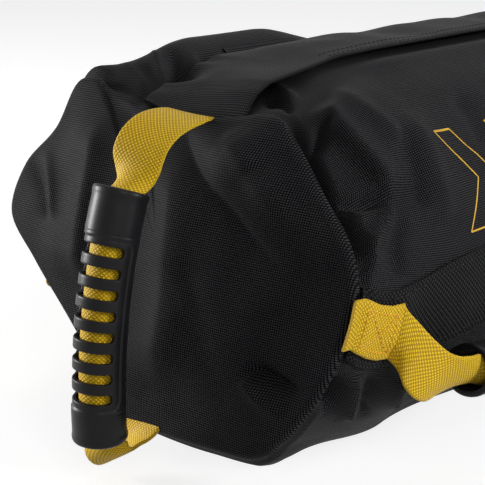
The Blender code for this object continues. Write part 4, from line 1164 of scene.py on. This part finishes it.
def side_webbing(x, way, side):
    """Rows of one half of a side handle, from its sewn end to the middle of the grip."""
    matrix = side_frame(x, side)
    local_way = way * -side
    inside = rows_in_grip(side_grip_matrix(), MOUTH_TWIST)[::local_way]
    inside = inside[:len(inside) // 2 + 1]
    mouth, mouth_curl = np.array(inside[0][0]), inside[0][3]
    mouth_turn = math.pi / 2 - SIDE_GRIP_SLANT + MOUTH_TWIST
    far = x + (SIDE_SPAN + SIDE_FOOT + FOOT_EXTRA) * way
    near = x + (SIDE_SPAN + FOOT_LOOSE) * way
    sewn = foot_rows(np.linspace(far, near, 18), side, GAP + BAND + GAP + WEBBING / 2)
    if side < 0:
        # On the front, where they are seen, the sewn ends run on and dip into the cloth
        step = np.array((way, 0.25, 0)) * 0.0022
        sewn = np.concatenate((sewn[:1] + step * 2, sewn[:1] + step, sewn))
    leaving = moved(sewn[-1], matrix.inverted())
    start = leaving.mean(0)
    free = []
    for i in range(1, FREE_ROWS + 1):
        dx, dy, dz, tilt, turned, curl = through(SIDE_BENDS, (len(SIDE_BENDS) - 1) * i / FREE_ROWS)
        slope, turn = math.radians(tilt), mouth_turn * turned
        held_in = 0 if side < 0 else BACK_HELD * (1 - float(ease(i / FREE_ROWS)))
        centre = start + (mouth - start) * (dx, dy * (1 - held_in), dz)
        down = np.array((local_way * math.sin(slope), 0, -math.cos(slope)))
        inward = np.array((0, 1, 0))
        row = webbing_row(centre, down * math.cos(turn) + inward * math.sin(turn),
                          down * math.sin(turn) - inward * math.cos(turn), max(curl, 0) * mouth_curl)
        own = float(ease(i / 9))
        free.append((leaving - start + centre) * (1 - own) + row * own)
    free = np.array(free + [webbing_row(*row) for row in inside[1:]])
    free = moved(free.reshape(-1, 3), matrix).reshape(free.shape)
    return np.concatenate((sewn, free)), near, far


sewn_ends = []
for face, side in FACES:
    for end, turn in ENDS:
        x = SIDE_HANDLE_X * turn
        body = f"handle_{face}_{end}"
        for label, way in (("outer", turn), ("inner", -turn)):
            rows, near, far = side_webbing(x, way, side)
            nodes = [f"foot_{face}_{end}_{label}"] + [f"strap_{face}_{end}"] * (label == "outer")
            mesh = ribbon_mesh(f"webbing_{face}_{end}_{label}", rows, WEBBING, -side * way)
            strap = piece(mesh, yellow_webbing, None, nodes)
            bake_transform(strap)
            sewn_ends.append((near, far, side))
        place_grip(f"grip_moulding_{face}_{end}", side_frame(x, side) @ side_grip_matrix(), body,
                   f"grip_{face}_{end}")
print(len(sewn_ends), "sewn ends on the bands")

# %% [markdown]
# ## Storm flap
# A flap of the same cloth covers the zip. It is sewn down behind the zip and at both ends, and
# its free edge stands a little off the bag and throws a dark line. Near the end seam it lifts
# into an open mouth. The middle part opens, so it rides on the flap. The ends are built in
# place and attached to no body.

# %% Build the storm flap
FLAP = 0.0018
FLAP_HALF_LENGTH = 0.228
FLAP_HINGE_Y = 0.036
FLAP_HINGE_Z = 0.1972
HINGE_RISE = 0.0012              # the hinge line lies at most this far above the cloth
# Height of the ridge and of the free edge above the floor, by place along the bag, in millimetres
RIDGE_HEIGHTS = [(0, 201.4), (55, 202.0), (100, 202.6), (190, 202.4), (218, 201.6), (244, 199.0),
                 (269, 193.4), (284, 188.8), (293, 184.0), (297, 180.0), (301, 175.6)]
EDGE_HEIGHTS = [(0, 201.4), (55, 201.8), (100, 202.2), (190, 201.8), (223, 200.8), (240, 198.8),
                (258, 196.6), (280, 194.2), (290, 190.4), (296, 184.6), (301, 176.0)]
EDGE_PLACES = [(0, -28.0), (120, -29.5), (220, -28.5), (262, -30.0), (300, -31.0)]
FLAP_LINE = [(0, 0.0), (0.08, 0.40), (0.19, 0.75), (0.36, 1.0), (0.55, 0.90), (0.80, 0.45), (1, 0.0)]
RIDGE_SHARE = 0.36               # the ridge's share of the way across the flap
FLAP_POINTS = 30
PULLER_PLACE = -0.198
PULLER_LIFT = 0.0014             # the zip's puller lies under the cloth and lifts it this much


def share_at(x, turns):
    """Shares of the half length at which the cloth reaches places along the bag."""
    x, turns = np.broadcast_arrays(np.asarray(x, float), np.asarray(turns, float))
    low, high = np.zeros(x.shape), np.ones(x.shape)
    for _ in range(25):
        middle = (low + high) / 2
        short = np.abs(on_bag(np.copysign(middle, x), turns)[..., 0]) < np.abs(x)
        low, high = np.where(short, middle, low), np.where(short, high, middle)
    return np.copysign(low, x)


def along_bag(table, x):
    """A value in metres from a table of places along the bag, both in millimetres."""
    places, values = np.array(table, float).T
    return np.interp(abs(x) * 1000, places, values) / 1000


def top_turn(x, y):
    """Share around the bag where its top has a place across."""
    share = min(abs(x) / BAG_HALF_LENGTH, 1)
    low, high = -4 / 22, 4 / 22
    for _ in range(25):
        middle = (low + high) / 2
        if cross_section(share, np.array([middle]))[0, 0] > y:
            low = middle
        else:
            high = middle
    return middle


def flap_row(x):
    """Points across the flap at a place along the bag, from the hinge line to the free edge."""
    across = np.linspace(0, 1, FLAP_POINTS)
    rise = np.interp(across, *np.array(FLAP_LINE).T)
    rise = np.convolve(np.pad(rise, 3, "edge"), np.ones(7) / 7, "valid")
    rise = (rise - rise[0]) / (rise.max() - rise[0])
    y = FLAP_HINGE_Y + (along_bag(EDGE_PLACES, x) - FLAP_HINGE_Y) * across
    lying = on_bag(share_at(x, 0.99), top_turn(x, FLAP_HINGE_Y), FLAP / 2)
    hinge_z = min(FLAP_HINGE_Z, float(lying[2]) + HINGE_RISE)
    ridge = along_bag(RIDGE_HEIGHTS, x) - hinge_z
    edge = along_bag(EDGE_HEIGHTS, x) - hinge_z
    falling = ease((across - RIDGE_SHARE) / (1 - RIDGE_SHARE))
    z = hinge_z + np.where(across <= RIDGE_SHARE, rise * ridge, ridge + (edge - ridge) * falling)
    wave = (0.8 * math.sin(x * 61) + 0.6 * math.sin(x * 113 + 1.2)) / 1000
    z = z + wave * np.sin(across * math.pi) + PULLER_LIFT * bell(x, PULLER_PLACE, 0.014) * bell(y, 0, 0.012)
    return np.stack((np.full(FLAP_POINTS, x), y, z), -1)


def flap_part(name, low, high, steps):
    """A stretch of the flap between two places along the bag, and its width."""
    rows = np.array([flap_row(x) for x in np.linspace(low, high, steps)])
    return ribbon_mesh(name, rows, FLAP), rows, float(way_along(rows[steps // 2])[-1])


mesh, middle_rows, width = flap_part("flap_cover", -FLAP_HALF_LENGTH, FLAP_HALF_LENGTH, 130)
flap_cover = piece(mesh, bag_cloth, "flap", ["storm_flap"])
print("flap", round(width * 1000), "mm wide from hinge line to edge")
for label, side in ENDS:
    low, high = sorted((FLAP_HALF_LENGTH * side, (BAG_HALF_LENGTH + 0.0005) * side))
    mesh, _, width = flap_part("flap_corner_" + label, low, high, 44)
    corner = piece(mesh, bag_cloth, None, ["flap_end_" + label])
    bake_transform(corner)

HEM_WIDTH = 0.0105
hem_shares = np.linspace(-0.76, 0.76, 150)
hem_turns = np.linspace(top_turn(0, FLAP_HINGE_Y - 0.0006), top_turn(0, FLAP_HINGE_Y + HEM_WIDTH), 9)
hem_rows = np.stack([on_bag(hem_shares, turn, GAP + FLAP / 4) for turn in hem_turns], 1)
piece(ribbon_mesh("flap_hem_cloth", hem_rows, FLAP / 2, -1), bag_cloth, "bag", ["flap_hem"])
print("flap ends and hem")

# %% [markdown]
# ## Zip
# The zip is a nylon coil on woven tapes. Only the open flap shows it. Each coil is drawn as a row of
# single round teeth at the real pitch of a size 8 zip. The slider, its puller and the stops keep their
# solids and get blackened zinc.

# %% Build the zip
ZIP_HALF_LENGTH = 0.2325
STOP_LENGTH = 0.004
TAPE = 0.0010
TAPE_WIDTH = 0.013
TEETH_WIDTH = 0.0035
TEETH_HEIGHT = 0.0034
TEETH_GAP = 0.0014
COIL_PITCH = 0.0020
# Places across the zip and sizes of a turn of coil, as shares of a tooth's
TOOTH = [(-0.5, 0.45), (-0.42, 0.8), (-0.2, 1.0), (0.3, 1.0), (0.47, 0.75), (0.55, 0.4)]

coil_middle = MID_HEIGHT - CLOTH - GAP - TAPE / 2


def circle(sides):
    """Cosines and sines at even steps round a circle."""
    turn = 2 * math.pi * np.arange(sides) / sides
    return np.cos(turn), np.sin(turn)


def tooth(sides=8):
    """One turn of coil as a small rounded bar across the zip, about its own middle."""
    cos, sin = circle(sides)
    return lofted(np.array([np.column_stack((COIL_PITCH * 0.46 * size * cos, np.full(sides, y * TEETH_WIDTH),
                                             TEETH_HEIGHT * 0.5 * size * sin)) for y, size in TOOTH]))


def joined(name, parts):
    """One mesh from several lots of points and faces."""
    faces, start = [], 0
    for points, own in parts:
        faces += [[k + start for k in face] for face in own]
        start += len(points)
    return mesh_from(name, np.vstack([points for points, _ in parts]), faces)


def repeated(name, shape, matrices):
    """One mesh with a copy of a small closed shape at each of many matrices."""
    points, faces = shape
    mesh = joined(name, [(moved(points, matrix), faces) for matrix in matrices])
    turned_out(mesh)
    return mesh


coil_reach = ZIP_HALF_LENGTH - STOP_LENGTH - GAP - COIL_PITCH / 2
coil_places = np.arange(-coil_reach, coil_reach, COIL_PITCH)
for label, side in FACES:
    shift = 0 if side < 0 else COIL_PITCH / 4
    y = side * (TEETH_GAP + TEETH_WIDTH) / 2
    turn = Matrix.Rotation(0 if side > 0 else math.pi, 4, "Z")
    matrices = [Matrix.Translation((x + shift, y, coil_middle)) @ turn for x in coil_places]
    piece(repeated("zip_coil_" + label, tooth(), matrices), nylon_coil, "bag",
          ["zip_teeth_" + label])
    y_near = TEETH_GAP / 2 + TEETH_WIDTH + GAP
    tape_rows = np.array([[(x, y * side, coil_middle) for y in np.linspace(y_near, y_near + TAPE_WIDTH, 9)]
                          for x in np.linspace(-ZIP_HALF_LENGTH, ZIP_HALF_LENGTH, 120)])
    piece(ribbon_mesh("zip_tape_cloth_" + label, tape_rows, TAPE, side), black_webbing, "bag",
          ["zip_tape_" + label])
print("zip with", len(coil_places), "teeth a side")

for name in ("zip_slider", "zip_puller", "zip_stop_left", "zip_stop_right"):
    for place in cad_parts[name].material_slots:
        place.material = black_zinc

# %% [markdown]
# ## Thread
# Sewing is what holds this bag together, so the stitches are real: each is a short bent
# thread that dips into the cloth at both ends. They run along the bands, the zip's slit, the flap
# and round every sewn webbing end.

# %% Sew the bag
STITCH_PITCH = 0.0040
STITCH_LENGTH = 0.0030
THREAD_RADIUS = 0.00032
# Places along a stitch and how high it stands there, as shares of its length and radius
STITCH = [(-0.5, -1.3), (-0.38, -0.2), (-0.15, 0.45), (0.15, 0.45), (0.38, -0.2), (0.5, -1.3)]


def stitch(sides=5):
    """One stitch along X, proud of the cloth in the middle and sunk at both ends."""
    cos, sin = circle(sides)
    return lofted(np.array([np.column_stack((np.full(sides, along * STITCH_LENGTH), THREAD_RADIUS * cos,
                                             THREAD_RADIUS * (sin + high))) for along, high in STITCH]))


def stitch_places(line, normals, pitch=STITCH_PITCH):
    """Matrices of stitches spaced evenly along a line on a surface."""
    lengths = way_along(line)

    def at(table, length):
        """A table's value at a length along the line."""
        return Vector([np.interp(length, lengths, column) for column in table.T])

    made = []
    for length in np.arange(pitch / 2, lengths[-1], pitch):
        along = (at(line, length + pitch * 0.3) - at(line, length - pitch * 0.3)).normalized()
        sideways = at(normals, length).normalized().cross(along).normalized()
        made.append(frame_of(along, sideways, along.cross(sideways), at(line, length)))
    return made


def sew(name, lines, finish, body, pitch=STITCH_PITCH):
    """One piece of thread with stitches along several lines."""
    matrices = [matrix for line, normals in lines for matrix in stitch_places(line, normals, pitch)]
    piece(repeated(name, stitch(), matrices), finish, body)
    print(name, len(matrices), "stitches")


def bag_line(shares, turns, out):
    """A line on the cloth with its normals."""
    line = on_bag(shares, turns, out)
    return line, line - on_bag(shares, turns, out - 0.001)


run = np.linspace(-0.985, 0.985, 300)
for label, side in FACES:
    lines = [bag_line(run, band_turn(run, part, side), GAP + BAND) for part in (-0.86, 0.86)]
    sew("band_thread_" + label, lines, black_thread, "bag")

slit_run = np.linspace(-0.79, 0.79, 200)
slit_turn = (SLIT_COLUMNS + 1.2) / COLUMNS
lines = [bag_line(slit_run, turn + slit_run * 0, 0.0) for turn in (slit_turn, -slit_turn)]
lines += [bag_line(hem_shares, turn + hem_shares * 0, GAP + FLAP / 2) for turn in hem_turns[[3, 6]]]
sew("top_thread", lines, black_thread, "bag")

edge_lines = []
for column in (25, 28):
    line = middle_rows[:, column] + (0, 0, FLAP / 2)
    edge_lines.append((line, np.tile((0, -0.3, 1.0), (len(line), 1))))
sew("flap_thread", edge_lines, black_thread, "flap")

foot_lines = []
inset = 0.0035
high_part = 0.74 * WEBBING_WIDTH / BAND_WIDTH
for near, far, side in sewn_ends:
    low, high = sorted((near, far))
    low, high = low + inset, high - inset
    box = [(low, high_part), (high, high_part), (high, -high_part), (low, -high_part)]
    # Round the box, then across it both ways
    for a, b in ((0, 1), (1, 2), (2, 3), (3, 0), (0, 2), (1, 3)):
        (x0, p0), (x1, p1) = box[a], box[b]
        shares = bag_share(np.linspace(x0, x1, 8))
        if side > 0:
            shares = np.clip(shares, 0.006 - BACK_REACH, BACK_REACH - 0.006)
        turns = band_turn(shares, np.linspace(p0, p1, 8), side)
        foot_lines.append(bag_line(shares, turns, GAP * 2 + BAND + WEBBING))
sew("webbing_thread", foot_lines, yellow_thread, "bag", 0.0034)

# %% [markdown]
# ### Loose ends and the printed design
# Two ends of white thread were left hanging where the flap's seam starts, and they are what says
# that people sewed this bag. The front carries a print in thin yellow lines. It lies on the cloth
# with hardly any thickness, so it follows every fold.

# %% Add loose ends and the print
FLAP_EDGE_Y = -0.028
LOOSE_RADIUS = 0.00028
PRINT_LINE = 0.0009
PRINT_HEIGHT = 0.00012
PRINT_LOW, PRINT_HIGH = 0.122, 0.168
PRINT_PITCH = 0.052


def tube(points, radius, sides=6):
    """A round thread along a line."""
    along = unit(np.gradient(points, axis=0))
    first = unit(np.cross(along, (0.3, 0.2, 0.9)))
    cos, sin = (wave[:, None] for wave in circle(sides))
    return lofted(points[:, None] + radius * (first[:, None] * cos + np.cross(along, first)[:, None] * sin))


loose = []
for side in (-1, 1):
    root = on_bag(0.992 * side, -top_turn(0.3, FLAP_EDGE_Y), 0.001)
    for way, reach in (((-0.3, -0.7, 0.5), 0.009), ((0.5, -0.5, 0.75), 0.006)):
        steps = np.linspace(0, 1, 9)[:, None]
        bend = np.array((way[0] * -side, way[1], way[2])) * reach * steps
        curl = np.array((0, 0.0012, 0)) * np.sin(steps * 5) - np.array((0, 0, 0.004)) * steps ** 2
        line = root + bend + curl
        loose.append(tube(line, LOOSE_RADIUS))
loose_mesh = joined("loose_thread", loose)
turned_out(loose_mesh)
piece(loose_mesh, white_thread, "bag")


def printed_line(places):
    """Rows of a flat printed line through places, as metres along the bag and height above the floor."""
    fine = np.vstack([np.linspace(a, b, max(2, int(np.hypot(*(np.array(b) - a)) / 0.0015)) + 1)[:-1]
                      for a, b in zip(places, places[1:])] + [places[-1]])
    step = unit(np.gradient(fine, axis=0))
    aside = np.stack((-step[:, 1], step[:, 0]), -1) * PRINT_LINE / 2
    rows = []
    for shift in (-1, 0, 1):
        x, z = (fine + aside * shift).T
        rows.append(on_bag(x / BAG_HALF_LENGTH, turn_at_height(0, z), PRINT_HEIGHT))
    return np.stack(rows, 1)


prints = []
for index in range(-4, 5):
    x, middle = PRINT_PITCH * index, (PRINT_LOW + PRINT_HIGH) / 2
    rows = printed_line([(x - 0.018, PRINT_LOW), (x + 0.002, middle), (x - 0.018, PRINT_HIGH),
                         (x - 0.002, PRINT_HIGH), (x + 0.018, middle), (x - 0.002, PRINT_LOW),
                         (x - 0.018, PRINT_LOW)])
    prints.append((rows.reshape(-1, 3), grid_faces(len(rows), 3, False)[0][:, ::-1].tolist()))
piece(joined("printed_chevrons", prints), yellow_ink, "bag")
print("loose ends and", len(prints), "printed chevrons")

# %% [markdown]
# ## Filling
# Three sewn sand bags lie in a row inside. Each is a pouch with a neck that is folded over and held
# with hook tape. They are never in full view, but a part is used from all sides, so they get
# soft shapes of their own.

# %% Build the filler bags
FILLER_COUNT = 3
FILLER_SPACING = ZIP_HALF_LENGTH * 2 / FILLER_COUNT
FILLER_HALF_LENGTH = FILLER_SPACING / 2 - 0.0025
FILLER_HALF_WIDTH = MID_HALF_WIDTH - CLOTH - 0.0105
FILLER_BELLY = MID_HEIGHT - 0.043
FILLER_CLOTH = 0.0012
NECK_HALF_LENGTH = 0.050
NECK_HALF_WIDTH = 0.006
NECK_HEIGHT = 0.016
POUCH = [(0.70, 0.40, 0.0), (0.80, 0.56, 0.02), (0.93, 0.76, 0.10), (0.985, 0.89, 0.20), (1.0, 0.96, 0.32),
         (1.0, 0.99, 0.45), (1.0, 1.0, 0.58), (0.985, 0.965, 0.69), (0.96, 0.90, 0.80), (0.92, 0.78, 0.88),
         (0.86, 0.62, 0.95), (0.76, 0.34, 0.985)]
POUCH_CREASE = 60
PILLOW_SIDES = 64
PILLOW_SQUARE = 2.6              # 2 would be an ellipse, and more is squarer


def pillow(half_length, half_width, height):
    """A rounded rectangle at a height."""
    x, y = (np.copysign(np.abs(wave) ** (2 / PILLOW_SQUARE), wave) for wave in circle(PILLOW_SIDES))
    return np.column_stack((x * half_length, y * half_width, np.full(PILLOW_SIDES, height)))


def neck_ring(grow, height):
    """The neck's outline, wider by twice grow, at a height."""
    return pillow(NECK_HALF_LENGTH + grow, NECK_HALF_WIDTH + grow, height)


def filler_mesh(name, rings, x):
    """A closed body through rings of points, at a place along the bag."""
    rings = np.array(rings) + (x, 0, 0)
    closed = np.concatenate((rings, rings[:, :1]), 1)
    across = np.cumsum(np.linalg.norm(np.diff(closed, axis=1, prepend=closed[:, :1]), axis=-1), 1)
    half = closed.shape[1] // 2
    across = across - across[:, half:half + 1]
    flat_places = np.stack(np.broadcast_arrays(way_along(closed[:, half])[:, None], across), -1)
    return loft_mesh(name, rings, flat_places, POUCH_CREASE)


base = CLOTH + GAP
shoulder = base + FILLER_BELLY
rim_height = shoulder + NECK_HEIGHT
fold = FILLER_CLOTH + GAP
for index in range(FILLER_COUNT):
    x = FILLER_SPACING * (index - (FILLER_COUNT - 1) / 2)
    number = str(index + 1)
    pouch = []
    for length, width, height in POUCH:
        ring = pillow(FILLER_HALF_LENGTH * length, FILLER_HALF_WIDTH * width, base + FILLER_BELLY * height)
        wave = np.sin(np.arange(PILLOW_SIDES) * 2 * math.pi * 13 / PILLOW_SIDES + index)
        pucker = 0.0011 * wave * ease(np.array(height) * 2 - 0.9)
        ring[:, :2] *= 1 - np.abs(pucker[:, None]) / 0.08
        pouch.append(ring)
    pouch += [neck_ring(0, h) for h in np.linspace(shoulder, rim_height, 5)]
    pouch += [neck_ring(-FILLER_CLOTH, h) for h in (rim_height, shoulder - FILLER_CLOTH)]
    made = piece(filler_mesh("sand_pouch_" + number, pouch, x), filler_cloth, "bag",
                 ["filler_bag_" + number])
    heap = [pillow(FILLER_HALF_LENGTH * length - fold - 0.002, FILLER_HALF_WIDTH * width - fold - 0.002,
                   base + fold + (FILLER_BELLY - 2 * fold) * height) for length, width, height in POUCH[:-1]]
    piece(filler_mesh("sand_fill_" + number, heap, x), quartz_sand, "bag", ["sand_" + number])
    cap = [neck_ring(GAP, rim_height + GAP), neck_ring(GAP, shoulder + FILLER_CLOTH),
           neck_ring(fold, shoulder + FILLER_CLOTH)]
    cap += [neck_ring(fold * grow, rim_height + fold * up)
            for grow, up in ((1.0, 0.2), (0.8, 0.75), (0.4, 1.0))]
    piece(filler_mesh("neck_fold_" + number, cap, x), hook_tape, "bag",
          ["filler_closure_" + number])
print(FILLER_COUNT, "sand pouches")
